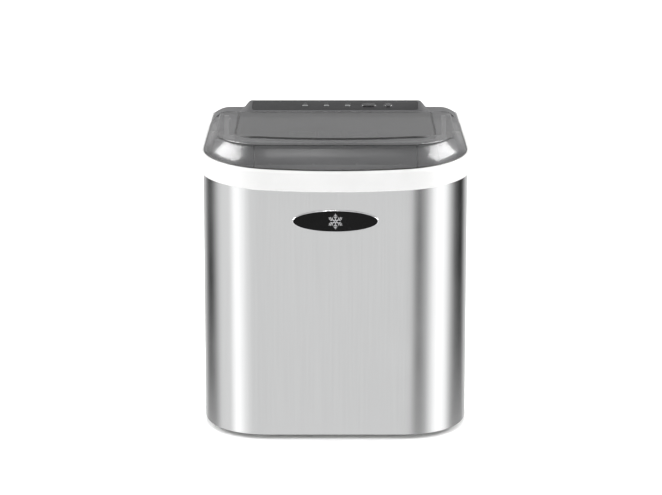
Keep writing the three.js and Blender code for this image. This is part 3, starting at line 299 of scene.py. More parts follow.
class Finish:
    """A node material round one Principled shader, with short ways to add noisy colour, gloss and bump."""

    def __init__(self, name, **sockets):
        self.material = bpy.data.materials.new(name)
        self.material.use_nodes = True
        self.tree = self.material.node_tree
        self.shader = self.tree.nodes["Principled BSDF"]
        self.where = self.tree.nodes.new("ShaderNodeTexCoord").outputs["Object"]
        for socket, value in sockets.items():
            self.shader.inputs[socket.replace("_", " ")].default_value = value

    def node(self, kind, **settings):
        made = self.tree.nodes.new(kind)
        for key, value in settings.items():
            setattr(made, key, value)
        return made

    def link(self, start, end):
        self.tree.links.new(start, end)

    def noise(self, scale, stretch=(1, 1, 1), detail=4.0):
        """Noise in object space; a large stretch number makes it fine along that axis."""
        mapping = self.node("ShaderNodeMapping")
        mapping.inputs["Scale"].default_value = stretch
        self.link(self.where, mapping.inputs["Vector"])
        noise = self.node("ShaderNodeTexNoise")
        noise.inputs["Scale"].default_value = scale
        noise.inputs["Detail"].default_value = detail
        noise.inputs["Roughness"].default_value = 0.55
        self.link(mapping.outputs["Vector"], noise.inputs["Vector"])
        return noise.outputs["Fac"]

    def ramp(self, factor, low, high, start=0.3, end=0.7):
        """Turns a 0 to 1 factor into a range of numbers or colours."""
        ramp = self.node("ShaderNodeValToRGB")
        ramp.color_ramp.elements[0].position = start
        ramp.color_ramp.elements[1].position = end
        for element, value in zip(ramp.color_ramp.elements, (low, high)):
            element.color = (*value, 1) if hasattr(value, "__len__") else (value, value, value, 1)
        self.link(factor, ramp.inputs["Fac"])
        return ramp.outputs["Color"]

    def colour(self, factor, low, high, start=0.3, end=0.7):
        self.link(self.ramp(factor, low, high, start, end), self.shader.inputs["Base Color"])

    def gloss(self, factor, low, high):
        self.link(self.ramp(factor, low, high), self.shader.inputs["Roughness"])

    def bump(self, factor, height):
        """Raises the surface by up to that height, on top of any bump it already has."""
        bump = self.node("ShaderNodeBump")
        bump.inputs["Strength"].default_value = 1.0
        bump.inputs["Distance"].default_value = height * MM
        self.link(factor, bump.inputs["Height"])
        if self.shader.inputs["Normal"].is_linked:
            earlier = self.shader.inputs["Normal"].links[0].from_socket
            self.link(earlier, bump.inputs["Normal"])
        self.link(bump.outputs["Normal"], self.shader.inputs["Normal"])


def brushed_steel():
    """Stainless sheet with fine upright brushing, a little cloudiness and faint handling marks."""
    finish = Finish("stainless_brushed", Metallic=1.0, Anisotropic=0.35)
    grain = finish.noise(9.0, (60, 60, 0.9), detail=6)
    finish.colour(grain, (0.635, 0.638, 0.64), (0.665, 0.668, 0.67), 0.25, 0.75)
    clouds = finish.noise(14.0, detail=3)
    finish.gloss(clouds, 0.17, 0.22)
    finish.bump(grain, 0.001)
    return finish.material


def moulded(name, low, high, rough=(0.32, 0.42), grain=900.0, height=0.006, **sockets):
    """Moulded plastic: slight colour drift, patchy gloss, a fine moulding grain and a shallow waviness."""
    finish = Finish(name, **sockets)
    finish.colour(finish.noise(22.0, detail=5), low, high)
    finish.gloss(finish.noise(60.0, detail=6), *rough)
    finish.bump(finish.noise(6.0, detail=2), 0.02)
    finish.bump(finish.noise(grain, detail=2), height)
    return finish.material


def smoked(name, tint, alpha, rough):
    """Smoked clear plastic seen as a tinted sheet: dark body, part see-through, glossy skin."""
    finish = Finish(name, Alpha=alpha, IOR=1.53)
    body = finish.noise(16.0, detail=3)
    finish.colour(body, tint, tuple(c * 1.35 for c in tint))
    finish.gloss(finish.noise(45.0, detail=5), rough, rough + 0.05)
    finish.bump(finish.noise(9.0, detail=2), 0.12)
    return finish.material


def metal(name, low, high, rough, scale=120.0, stretch=(1, 1, 1)):
    """Bare metal with streaks of tone and roughness."""
    finish = Finish(name, Metallic=1.0)
    finish.colour(finish.noise(scale, stretch, detail=5), low, high)
    finish.gloss(finish.noise(scale * 2.3, stretch, detail=4), *rough)
    finish.bump(finish.noise(scale * 5, stretch, detail=3), 0.01)
    return finish.material


def circuit_board_finish():
    """Green solder mask with copper runs showing through as slightly lighter lines."""
    finish = Finish("solder_mask", Roughness=0.35)
    runs = finish.node("ShaderNodeTexBrick", offset=0.5)
    settings = {
        "Scale": 260.0, "Mortar Size": 0.012, "Color1": (0.01, 0.12, 0.04, 1),
        "Color2": (0.012, 0.15, 0.05, 1), "Mortar": (0.03, 0.24, 0.09, 1),
    }
    for name, value in settings.items():
        runs.inputs[name].default_value = value
    finish.link(finish.where, runs.inputs["Vector"])
    finish.link(runs.outputs["Color"], finish.shader.inputs["Base Color"])
    finish.gloss(finish.noise(300.0), 0.28, 0.42)
    finish.bump(runs.outputs["Fac"], 0.03)
    return finish.material


STEEL = brushed_steel()
WHITE = moulded("white_gloss_plastic", (0.80, 0.80, 0.795), (0.84, 0.84, 0.835), (0.28, 0.36))
LINER = moulded("white_liner_plastic", (0.82, 0.83, 0.83), (0.88, 0.885, 0.88), (0.30, 0.42))
CHARCOAL = moulded("charcoal_textured_plastic", (0.022, 0.022, 0.024), (0.030, 0.030, 0.032), (0.5, 0.62),
                   1600.0, 0.03)
PANEL_FILM = moulded("panel_film", (0.012, 0.012, 0.013), (0.018, 0.018, 0.019), (0.42, 0.5), 2200.0, 0.008,
                     Specular_IOR_Level=0.2)
BLACK = moulded("black_gloss_plastic", (0.010, 0.010, 0.011), (0.016, 0.016, 0.017), (0.10, 0.16),
                700.0, 0.003)
ENAMEL = moulded("black_enamel", (0.012, 0.012, 0.013), (0.022, 0.022, 0.024), (0.25, 0.4), 260.0, 0.05)
RUBBER = moulded("black_rubber", (0.018, 0.018, 0.018), (0.032, 0.031, 0.030), (0.75, 0.9), 1200.0, 0.06)
SMOKE = smoked("smoked_lid_plastic", (0.115, 0.115, 0.118), 0.52, 0.20)
# Painted shade: a darker, nearly opaque smoke that stands for the shade under the lid's lip.
SMOKE_PAINTED_SHADE = smoked("smoked_plastic_painted_shade", (0.014, 0.014, 0.015), 0.92, 0.25)
SMOKE_PANE = smoked("smoked_window_plastic", (0.050, 0.050, 0.052), 0.58, 0.08)
GASKET = moulded("black_gasket", (0.006, 0.006, 0.006), (0.010, 0.010, 0.010), (0.55, 0.7), 900.0, 0.02)
CLEAR = smoked("clear_blue_plastic", (0.62, 0.70, 0.76), 0.42, 0.08)
CHROME = metal("bright_steel", (0.62, 0.62, 0.63), (0.76, 0.76, 0.77), (0.08, 0.2))
NICKEL = metal("nickel_plated_tube", (0.66, 0.64, 0.60), (0.78, 0.76, 0.72), (0.14, 0.28), 80.0)
COPPER = metal("drawn_copper", (0.62, 0.27, 0.14), (0.80, 0.42, 0.26), (0.22, 0.42), 60.0)
ALUMINIUM = metal("mill_aluminium", (0.55, 0.56, 0.57), (0.70, 0.71, 0.72), (0.3, 0.5), 90.0, (1, 1, 6))
BOARD = circuit_board_finish()
FOAM = moulded("moulded_foam", (0.80, 0.76, 0.64), (0.90, 0.86, 0.74), (0.85, 0.95), 420.0, 0.35)
LENS = moulded("frosted_lens", (0.12, 0.125, 0.125), (0.17, 0.175, 0.175), (0.3, 0.4), 500.0, 0.01)
PRINT = moulded("pale_print", (0.08, 0.08, 0.085), (0.11, 0.11, 0.115), (0.45, 0.55), 1500.0, 0.01)
BADGE_BLACK = moulded("badge_black", (0.003, 0.003, 0.003), (0.006, 0.006, 0.006), (0.2, 0.3), 700.0, 0.003,
                      Specular_IOR_Level=0.12)

SLOT_FINISHES = {
    "stainless_steel": STEEL, "white_plastic": WHITE, "smoky_plastic": SMOKE, "charcoal_plastic": CHARCOAL,
    "black_plastic": BLACK, "black_enamel": ENAMEL, "rubber": RUBBER, "bright_steel": CHROME,
    "copper": COPPER, "aluminium": ALUMINIUM, "circuit_board": BOARD, "foam": FOAM, "clear_plastic": CLEAR,
    "lens": LENS,
}
NODE_FINISHES = {"inner_tub": LINER, "evaporator": NICKEL}
EDGE_WIDTHS = {
    "inner_tub": 0.8, "evaporator_cover": 0.6, "compressor": 1.2, "base_pan": 0.6, "tub_insulation": 1.5,
    "water_pump": 0.8, "tray_motor": 0.7, "tray_bearing": 0.7, "rear_panel": 0.4, "condenser": 0.15,
}
OTHER_EDGE_WIDTH = 0.35


def dress_cad_nodes():
    """Gives every carried-over CAD node its finish, smooth shading and small edge radii."""
    for name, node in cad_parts.items():
        for material_slot in node.material_slots:
            slot_name = material_slot.material.name.split(".")[0]
            material_slot.material = NODE_FINISHES.get(name, SLOT_FINISHES[slot_name])
        mesh = node.data
        if "custom_normal" in mesh.attributes:
            mesh.attributes.remove(mesh.attributes["custom_normal"])
        mesh.shade_smooth()
        weld = node.modifiers.new("weld", "WELD")
        weld.merge_threshold = 1e-6
        round_edges(node, EDGE_WIDTHS.get(name, OTHER_EDGE_WIDTH), 32)


# ---------------- stage, lights and camera

# Places and sizes in this part are in metres.
VIEW_TARGET = Vector((-0.00465, 0.0, 0.16715))
VIEW_ELEVATION = math.radians(13.0)
VIEW_DISTANCE = 3.0
VIEW_LENS = 146.74                   # millimetres, on a 36 mm sensor


def add_camera():
    """The camera that stands where the photograph was taken from."""
    data = bpy.data.cameras.new("photo_view")
    data.lens = VIEW_LENS
    data.sensor_width = 36.0
    camera = linked("photo_view", data)
    back = Vector((0.0, -math.cos(VIEW_ELEVATION), math.sin(VIEW_ELEVATION)))
    camera.location = VIEW_TARGET + back * VIEW_DISTANCE
    camera.rotation_euler = (math.pi / 2 - VIEW_ELEVATION, 0.0, 0.0)
    bpy.context.scene.camera = camera


def add_floor():
    """A wide pale floor just under the feet."""
    bpy.ops.mesh.primitive_plane_add(size=14.0, location=(0, 0, -0.0002))
    floor = bpy.context.object
    floor.name = "studio_floor"
    finish = Finish("studio_floor_paint", Roughness=0.9)
    finish.colour(finish.noise(1.5, detail=2), (0.90, 0.90, 0.90), (0.93, 0.93, 0.93))
    floor.data.materials.append(finish.material)
    floor.visible_glossy = False


# Studio brightness round the object: degrees from straight in front, to the right positive, and how bright.
STUDIO_RING = [
    (-180, 0.42), (-163, 0.80), (-149, 0.30), (-136, 0.05), (-122, 0.28), (-107, 0.85), (-93, 0.98),
    (-78, 1.00), (-66, 1.62), (-52, 1.48), (-36, 1.02), (-15, 0.90), (12, 0.90), (19, 0.52), (27, 0.20),
    (36, 0.42), (48, 0.84), (62, 1.48), (84, 1.62), (99, 1.00), (114, 0.28), (129, 0.05), (141, 0.05),
    (160, 0.80), (180, 0.42),
]
RING_WHITE = 2.0                     # the brightness that white on the ring's colour ramp stands for
# How bright the studio is below and above, and between which sines of elevation that comes in.
BELOW_LEVEL, BELOW_BAND = 0.55, (-0.25, -0.30)
ABOVE_LEVEL, ABOVE_BAND = 0.85, (0.02, 0.35)
BACKDROP_LEVEL = 1.0                 # only the camera sees this


def add_world():
    """A soft studio all round: bright panels at the sides, darker gaps between them, pale above."""
    world = bpy.data.worlds.new("studio")
    bpy.context.scene.world = world
    world.use_nodes = True
    tree = world.node_tree

    def feed(socket, value):
        if isinstance(value, bpy.types.NodeSocket):
            tree.links.new(value, socket)
        else:
            socket.default_value = value

    def calculate(operation, *values):
        node = tree.nodes.new("ShaderNodeMath")
        node.operation = operation
        for socket, value in zip(node.inputs, values):
            feed(socket, value)
        return node.outputs["Value"]

    def fade_in(value, band, top=1.0):
        node = tree.nodes.new("ShaderNodeMapRange")
        node.interpolation_type = "SMOOTHSTEP"
        settings = {"Value": value, "From Min": band[0], "From Max": band[1], "To Max": top}
        for name, setting in settings.items():
            feed(node.inputs[name], setting)
        return node.outputs["Result"]

    def blend(factor, first, second):
        node = tree.nodes.new("ShaderNodeMix")
        for index, value in ((0, factor), (2, first), (3, second)):
            feed(node.inputs[index], value)
        return node.outputs[0]

    split = tree.nodes.new("ShaderNodeSeparateXYZ")
    feed(split.inputs["Vector"], tree.nodes.new("ShaderNodeTexCoord").outputs["Generated"])
    minus_y = calculate("MULTIPLY", split.outputs["Y"], -1.0)
    angle = calculate("ARCTAN2", split.outputs["X"], minus_y)
    ramp = tree.nodes.new("ShaderNodeValToRGB")
    ramp.color_ramp.interpolation = "CARDINAL"
    elements = ramp.color_ramp.elements
    for degrees, level in STUDIO_RING:
        position = degrees / 360 + 0.5
        element = elements.new(position) if 0 < position < 1 else elements[0 if position == 0 else -1]
        shade = level / RING_WHITE
        element.position = position
        element.color = (shade, shade, shade, 1)
    feed(ramp.inputs["Fac"], calculate("MULTIPLY_ADD", angle, 0.5 / math.pi, 0.5))
    ring = calculate("MULTIPLY", ramp.outputs["Color"], RING_WHITE)
    ring = calculate("MAXIMUM", ring, fade_in(split.outputs["Z"], BELOW_BAND, BELOW_LEVEL))
    studio = blend(fade_in(split.outputs["Z"], ABOVE_BAND), ring, ABOVE_LEVEL)
    camera_ray = tree.nodes.new("ShaderNodeLightPath").outputs["Is Camera Ray"]
    background = tree.nodes["Background"]
    feed(background.inputs["Strength"], blend(camera_ray, studio, BACKDROP_LEVEL))
    background.inputs["Color"].default_value = (1, 1, 1, 1)


LID_MIDDLE = (0, -0.1, 0.3)


def add_light(name, location, target, size, watts, glossy=True, diffuse=True):
    """An area light aimed at a point; either kind of surface can be left out of its reach."""
    data = bpy.data.lights.new(name, "AREA")
    data.shape = "RECTANGLE"
    data.size, data.size_y = size
    data.energy = watts
    light = linked(name, data)
    light.location = location
    light.rotation_euler = (Vector(target) - Vector(location)).to_track_quat("-Z", "Y").to_euler()
    light.visible_glossy = glossy
    light.visible_diffuse = diffuse


def set_stage():
    """The camera, the floor, the studio, soft lights for brightness, and cards for the glows on the lid."""
    add_camera()
    add_floor()
    add_world()
    add_light("overhead_softbox", (0, -0.1, 2.2), (0, 0, 0), (2.2, 2.2), 12.0, glossy=False)
    add_light("backdrop_softbox", (0, 4.2, 2.6), (0, 4.6, 0), (8.0, 3.5), 190.0, glossy=False)
    for side in (-1, 1):
        place = (side * 1.93, 0.07, 1.33)
        add_light(f"side_softbox_{side}", place, LID_MIDDLE, (1.0, 0.6), 18.0, glossy=False)
        place = (side * 1.86, 0.06, 1.47)
        add_light(f"side_card_{side}", place, LID_MIDDLE, (2.3, 1.2), 170.0, diffuse=False)
    add_light("front_card", (-0.10, -1.3, 1.9), (-0.05, -0.1, 0.3), (0.12, 0.6), 2.6, diffuse=False)
    bpy.context.scene.view_settings.view_transform = "Standard"


# ---------------- cabinet

STEEL_BACK_HALF = 112.0              # half the gap that the steel leaves for the rear panel
GRILLE_CLEARANCE = 0.3


def steel_wrap():
    """The stainless sheet: round three sides and folded onto the back, with an opening for each grille."""
    outer = cabinet_outline(STEEL_INSET)
    near_back = STEEL_LOW.y + 300.0
    past_corner = STEEL_HIGH.x - 8.0
    last = next(i for i, (x, y, _, _) in enumerate(outer) if y > near_back and 0 < x < past_corner)
    right = [(x, y) for x, y, _, _ in outer[:last + 1]] + [(STEEL_BACK_HALF, STEEL_HIGH.y)]
    path = [(-x, y) for x, y in reversed(right[1:])] + right
    y_gaps = [GRILLE_LOW.y - GRILLE_CLEARANCE, GRILLE_HIGH.y + GRILLE_CLEARANCE]
    path = insert_steps(path, y_gaps)
    z_gaps = [GRILLE_LOW.z - GRILLE_CLEARANCE, GRILLE_HIGH.z + GRILLE_CLEARANCE]
    levels = [STEEL_LOW.z, 20.0, *z_gaps, 215.0, 250.0, STEEL_HIGH.z]
    points = [(x, y, z) for z in levels for x, y in path]
    count = len(path)
    faces = []
    for row in range(len(levels) - 1):
        for i in range(count - 1):
            middle_y = (path[i][1] + path[i + 1][1]) / 2
            in_grille = levels[row] == z_gaps[0] and y_gaps[0] < middle_y < y_gaps[1]
            if not in_grille:
                here, above = row * count + i, (row + 1) * count + i
                faces.append((here, here + 1, above + 1, above))
    piece = make_piece("steel_body_wrap", points, faces, STEEL, "cabinet",
                       ["steel_wrap"], 50)
    thicken(piece, STEEL_THICKNESS)
    round_edges(piece, 0.25, 60)


def insert_steps(path, y_marks):
    """Adds points to a path where its side runs cross the given depths."""
    result = [path[0]]
    for (x0, y0), (x1, y1) in zip(path, path[1:]):
        if abs(x0 - x1) < 1e-6:
            marks = [y for y in y_marks if min(y0, y1) < y < max(y0, y1)]
            for y in sorted(marks, reverse=y1 < y0):
                result.append((x0, y))
        result.append((x1, y1))
    return result


def thicken(piece, thickness):
    """Thickens an open skin inwards."""
    wall = piece.modifiers.new("wall", "SOLIDIFY")
    wall.thickness = thickness * MM
    wall.offset = -1.0
    wall.use_even_offset = True


def top_collar():
    """The white moulded ring over the steel's top edge, with a ledge inside and a slot for the steel."""
    low, high = 267.6, 289.4
    ledge, ledge_foot, slot_top = 287.5, 272.0, 280.5
    outside = catmull([
        (1.6, low), (0.5, low + 0.6), (0.0, low + 2.4), (-0.25, 278.5), (0.0, high - 4.4),
        (0.7, high - 1.7), (2.0, high - 0.3), (3.2, high),
    ], 3)
    inside = [
        (4.1, high), (4.4, high - 0.5), (4.4, ledge), (10.0, ledge), (10.0, ledge_foot), (5.5, ledge_foot),
        (5.5, slot_top), (3.7, slot_top), (3.7, low + 0.4), (3.3, low),
    ]
    rings = [smiling_ring(cabinet_outline(inset), z) for inset, z in outside + inside]
    points, faces = loft(rings, closed_stack=True)
    make_piece("white_top_collar", points, faces, WHITE, "cabinet", ["top_collar"], 40)


GRILLE_BORDER = 8.0
GRILLE_LOUVRES = 9
GRILLE_POSTS, GRILLE_POST_HALF = (-28.0, 0.0, 28.0), 1.1


def grille(side):
    """A moulded side grille: rounded frame, level louvres that lean outwards, and upright stiffeners."""
    name = "right" if side > 0 else "left"
    low, high = GRILLE_LOW, GRILLE_HIGH
    face, back = high.x, low.x
    y_mid, z_mid = (low.y + high.y) / 2, (low.z + high.z) / 2
    half_y, half_z = (high.y - low.y) / 2, (high.z - low.z) / 2
    open_y, open_z = half_y - GRILLE_BORDER, half_z - GRILLE_BORDER
    outer = rounded_rectangle(half_y, half_z, 5.0)
    inner = rounded_rectangle(open_y, open_z, 3.0)
    profile = [
        (outer, back), (outer, face - 0.6), (scaled(outer, 0.6, half_y), face),
        (scaled(inner, -0.5, half_y), face), (inner, face - 0.5), (inner, back),
    ]
    rings = [[(x, y_mid + u, z_mid + v) for u, v in outline] for outline, x in profile]
    parts = [loft(rings, closed_stack=True)]
    for i in range(GRILLE_LOUVRES):
        z = z_mid - open_z + 2 * open_z * (i + 0.5) / GRILLE_LOUVRES
        parts.append(louvre(y_mid, open_y + 0.4, z, back + 0.2, face - 0.4))
    for post in GRILLE_POSTS:
        across = (y_mid + post - GRILLE_POST_HALF, y_mid + post + GRILLE_POST_HALF)
        parts.append(bar((back, back + 1.2), across, (z_mid - half_z + 6, z_mid + half_z - 6)))
    points, faces = merged(parts)
    if side < 0:
        points = [(-x, y, z) for x, y, z in points]
    make_piece(f"louvred_grille_{name}", points, faces, CHARCOAL, "cabinet",
               [f"side_grille_{name}"], 30)


def scaled(outline, shrink, reach):
    """An outline that far inside the given one, whose half-width is reach."""
    k = 1 - shrink / reach
    return [(u * k, v * k) for u, v in outline]


def louvre(y_mid, half, z, x_back, x_face):
    """One leaning slat with a rounded nose."""
    nose = [(x_back, z + 2.4), (x_face - 0.6, z - 1.6), (x_face - 0.1, z - 2.3), (x_face, z - 3.0),
            (x_face - 0.4, z - 3.6), (x_face - 1.1, z - 3.4), (x_back, z + 0.6)]
    rings = [[(x, y, h) for x, h in nose] for y in (y_mid - half, y_mid + half)]
    return loft(rings, capped=True)


def bar(x, y, z):
    """A rectangular bar between the given ends."""
    points = [(a, b, c) for c in z for b in y for a in x]
    faces = [(0, 1, 3, 2), (4, 6, 7, 5), (0, 4, 5, 1), (2, 3, 7, 6), (0, 2, 6, 4), (1, 5, 7, 3)]
    return points, faces


# The foot's outline: how far inside its radius, and how high.
FOOT_PROFILE = [
    (5.5, 0.5), (4.8, 0.0), (1.2, 0.0), (0.4, 0.3), (0.0, 0.9), (0.1, 1.6), (0.8, 2.0), (1.3, 2.6),
]


def feet():
    """Turned rubber feet with a bead round the rim."""
    for label in ("front_left", "front_right", "rear_left", "rear_right"):
        low, high = box_mm(f"foot_{label}")
        radius = (high.x - low.x) / 2
        x, y = (low.x + high.x) / 2, (low.y + high.y) / 2
        rim = [(radius - inset, z) for inset, z in FOOT_PROFILE + [(1.5, high.z)]]
        profile = [(0, rim[0][1]), *rim, (0, high.z)]
        points, faces = turned(profile, (x, y), 32)
        make_piece(f"rubber_foot_{label}", points, faces, RUBBER, "cabinet",
                   [f"foot_{label}"], 40)


def badge():
    """A domed oval badge with a bright rim and a plain snow crystal in its middle."""
    centre_z = (BADGE_LOW.z + BADGE_HIGH.z) / 2
    half_x, half_z = (BADGE_HIGH.x - BADGE_LOW.x) / 2, (BADGE_HIGH.z - BADGE_LOW.z) / 2
    back, face = BADGE_HIGH.y, BADGE_LOW.y
    steps = 96

    def oval(shrink, y):
        return [((half_x - shrink) * math.cos(a), y, centre_z + (half_z - shrink) * math.sin(a))
                for a in (2 * math.pi * i / steps for i in range(steps))]

    dome = [oval(1.0, back), oval(1.0, face + 0.35), oval(1.15, face + 0.2), oval(1.6, face + 0.12)]
    dome += [oval(half_z * share, face + 0.12 - 0.1 * share) for share in (0.3, 0.6, 0.9)]
    points, faces = loft(dome, capped=True)
    make_piece("badge_oval", points, faces, BADGE_BLACK, "cabinet", ["badge_plate"], 40)
    rim = [(0.0, back), (0.0, face + 0.5), (0.25, face + 0.12), (0.6, face), (0.9, face + 0.12), (0.95, back)]
    points, faces = loft([oval(*row) for row in rim], closed_stack=True)
    make_piece("badge_rim", points, faces, CHROME, "cabinet", [], 40)
    points, faces = snow_crystal(centre_z, face + 0.03, 8.2)
    make_piece("badge_crystal", points, faces, CHROME, "cabinet", [], 30)


def snow_crystal(z_mid, y, radius):
    """A six-armed snow crystal of thin raised bars that narrow outwards."""
    parts = []

    def stroke(start, end, width):
        along = Vector((end[0] - start[0], end[1] - start[1]))
        side = Vector((-along.y, along.x)).normalized() * width / 2
        corners = []
        for point, share in ((start, 1.0), (start, -1.0), (end, -0.5), (end, 0.5)):
            corners.append((point[0] + side.x * share, point[1] + side.y * share))
        rings = [[(u, depth, z_mid + v) for u, v in corners] for depth in (y + 0.1, y - 0.25)]
        parts.append(loft(rings, capped=True))

    for arm in range(6):
        angle = math.radians(30 + 60 * arm)
        way = (math.cos(angle), math.sin(angle))
        stroke((0, 0), (way[0] * radius, way[1] * radius), 1.1)
        for share, length in ((0.42, 0.34), (0.68, 0.24)):
            foot = (way[0] * radius * share, way[1] * radius * share)
            for lean in (-50, 50):
                branch = angle + math.radians(lean)
                reach = radius * length
                tip = (foot[0] + math.cos(branch) * reach, foot[1] + math.sin(branch) * reach)
                stroke(foot, tip, 0.9)
    return merged(parts)


# ---------------- lid

WINDOW_HALF, WINDOW_FRONT, WINDOW_REAR = 106.0, -151.0, 27.0
WINDOW_CORNER_ACROSS, WINDOW_CORNER_DEEP = 24.0, 38.0
WINDOW_BOW = 11.5
LID_REAR = 30.5
LID_REAR_RADIUS, WINDOW_REAR_RADIUS = 3.0, 5.0


def ease(a, b, t):
    """From a to b as t goes from 0 to 1, level at both ends."""
    return a + (b - a) * t * t * (3 - 2 * t)


def lid_ring(side, front, rear, z_front, z_side, smile=0.0, tilt=0.0):
    """One ring of the lid, set in by its own amounts at the sides, the front and the rear."""
    corner_inset = LID_INSET + (side + front) / 2
    outline = plan_outline(
        HALF_WIDTH - LID_INSET - side, -HALF_DEPTH + LID_INSET + front, LID_REAR - rear,
        CORNER_ACROSS - corner_inset, CORNER_DEEP - corner_inset, LID_REAR_RADIUS)
    return [
        (x, y, ease(z_side, z_front, f) + smile * rise - tilt * lid_fall_at(y)) for x, y, f, rise in outline
    ]


def lid_fall_at(y):
    """How far the lid's top has dropped below the height of its front."""
    return LID_FALL * (y + HALF_DEPTH) / (LID_REAR + HALF_DEPTH)


def lid_top_at(y):
    return LID_TOP - lid_fall_at(y)


def window_ring(grow, below, behind=None):
    """One ring round the window, that far below the lid's top; behind is the same for its sides and rear."""
    behind = below if behind is None else behind
    outline = plan_outline(
        WINDOW_HALF + grow, WINDOW_FRONT - grow, WINDOW_REAR + grow,
        WINDOW_CORNER_ACROSS + grow, WINDOW_CORNER_DEEP + grow, WINDOW_REAR_RADIUS + grow, WINDOW_BOW)
    return [(x, y, lid_top_at(y) - ease(behind, below, f)) for x, y, f, _ in outline]


# Each lid ring: inset at the sides, front and rear, height at the front and sides, and its shares of the
# collar's rise and of the top's fall.
LID_WALL_ROWS = [
    (0.0, 0.0, 0.0, 288.0, 288.0, 1.0, 0.0),
    (0.2, 0.3, 0.0, 293.0, 298.0, 0.0, 0.0),
    (1.7, 1.6, 0.0, 298.5, 302.5, 0.0, 0.0),
    (5.0, 4.2, 0.0, 304.5, 307.2, 0.0, 0.3),
    (8.5, 7.8, 0.2, 310.0, 312.0, 0.0, 0.7),
    (12.4, 10.2, 0.6, 314.4, 316.0, 0.0, 1.0),
]
LID_BROW_ROWS = [
    (12.6, 5.6, 0.7, 314.9, 316.3, 0.0, 1.0),
    (12.9, 5.0, 0.9, 315.7, 316.7, 0.0, 1.0),
    (13.8, 5.0, 1.0, 316.8, 317.1, 0.0, 1.0),
    (15.6, 6.0, 1.3, 317.9, 317.6, 0.0, 1.0),
    (18.0, 8.0, 1.6, 318.4, 317.8, 0.0, 1.0),
]
LID_INNER_ROWS = [
    (20.0, 15.0, 6.6, 312.9, 312.9, 0.0, 1.0),
    (15.0, 12.8, 3.4, 311.6, 312.0, 0.0, 1.0),
    (11.1, 10.4, 3.0, 308.0, 309.4, 0.0, 0.7),
    (7.6, 6.8, 2.6, 303.0, 305.0, 0.0, 0.3),
    (4.3, 4.2, 2.6, 298.0, 301.5, 0.0, 0.0),
    (2.6, 2.6, 2.6, 288.0, 288.0, 1.0, 0.0),
]
# Each ring of the window's seat: how far outside the pane's edge, and how far below the lid's top.
SEAT_ROWS = [
    (3.6, 0.0), (2.4, -0.08), (1.4, 0.0), (0.9, 0.2), (0.7, 0.5), (0.7, 3.3), (-4.0, 3.3), (-4.0, 5.3),
]
PAINTED_SHADE_BROW_RINGS = 4                   # how many rings of the brow carry the painted shade under the nose of its lip
SWING_RADIUS = 12.3                  # how far the lid may reach behind its hinge
BRACKET_GAP = ((-130.5, 130.5), (18.0, 35.5), (283.0, 312.2))
EAR_X, EAR_HALF = 125.4, 2.0
EAR_RADIUS, EAR_BORE = 4.6, 2.3
RIB_X, RIB_HALF = 85.0, 0.9
# The rib's outline: how far behind the foot of the front wall, and how high.
RIB_PROFILE = [
    (0.0, 292.5), (1.4, 298.0), (5.4, 306.5), (9.2, 312.2), (15.0, 312.4), (8.6, 305.0), (4.4, 297.5),
    (2.4, 292.5),
]


def disc_x(x0, x1, y, z, radius, steps):
    """A round bar along X."""
    turns = [2 * math.pi * i / steps for i in range(steps)]
    rings = [[(x, y + radius * math.cos(t), z + radius * math.sin(t)) for t in turns] for x in (x0, x1)]
    return loft(rings, capped=True)


def lid_rear_cutters():
    """What the lid's rear wall loses: room to swing, and the gap for the brackets and the cover."""
    swing = cutter_of(*bar((-160, 160), (HINGE_Y, HINGE_Y + 30), (270, HINGE_Z + 14)))
    kept = cutter_of(*disc_x(-170, 170, HINGE_Y, HINGE_Z, SWING_RADIUS, 64))
    room = linked("swing", carved(swing, [kept]))
    return [room, cutter_of(*bar(*BRACKET_GAP))]


def lid_shell():
    """The smoked lid: curved wall, thin lip across the front with painted shade under it, window seat, inner
    ribs and hinge ears.
    """
    wall = [lid_ring(*row) for row in catmull(LID_WALL_ROWS, 4)]
    brow = [lid_ring(*row) for row in catmull(LID_BROW_ROWS, 3)]
    seat = [window_ring(*row) for row in SEAT_ROWS]
    inside = [lid_ring(*row) for row in catmull(LID_INNER_ROWS, 2)]
    rings = wall + brow + seat + inside
    shell = cutter_of(*loft(rings, closed_stack=True))
    # The top of the wall, the lip's underside and its nose get the darker smoke: painted shade under the lip.
    for material in (SMOKE, SMOKE_PAINTED_SHADE):
        shell.data.materials.append(material)
    around = len(wall[0])
    lip = range((len(wall) - 1) * around, (len(wall) + PAINTED_SHADE_BROW_RINGS) * around)
    for face in lip:
        shell.data.polygons[face].material_index = 1
    mesh = carved(shell, lid_rear_cutters())
    finish_piece(mesh, "smoked_lid", SMOKE, "lid", ["lid_shell"], 33)
    for side, name in ((1, "right"), (-1, "left")):
        hinge_ear(side, name)
        inner_rib(side, name)
    lid_seal()


def lid_seal():
    """The dark seal round the foot of the lid's wall."""
    section = [(0.4, 0.0), (-0.2, 0.2), (-0.3, 0.8), (-0.3, 1.9), (0.0, 2.4), (0.6, 2.4), (0.6, 0.0)]
    rings = [lid_ring(inset, inset, inset, LID_FOOT + up, LID_FOOT + up, 1.0) for inset, up in section]
    seal = cutter_of(*loft(rings, closed_stack=True))
    finish_piece(carved(seal, lid_rear_cutters()), "lid_foot_seal", GASKET, "lid", [], 40)


def hinge_ear(side, name):
    """An ear under the lid's rear edge with a round bore for the hinge pin."""
    turns = [math.radians(a) for a in range(-180, 1, 10)]
    outline = [(HINGE_Y + EAR_RADIUS * math.cos(t), HINGE_Z + EAR_RADIUS * math.sin(t)) for t in turns]
    outline += [(HINGE_Y + EAR_RADIUS, 313.4), (HINGE_Y - EAR_RADIUS - 4.0, 313.6)]
    outline.append((HINGE_Y - EAR_RADIUS, 310.0))
    x0, x1 = EAR_X - EAR_HALF, EAR_X + EAR_HALF
    ear = cutter_of(*loft([[(side * x, y, z) for y, z in outline] for x in (x0, x1)], capped=True))
    bore = cutter_of(*disc_x(side * (x0 - 1), side * (x1 + 1), HINGE_Y, HINGE_Z, EAR_BORE, 28))
    finish_piece(carved(ear, [bore]), f"hinge_ear_{name}", SMOKE, "lid", [], 33)


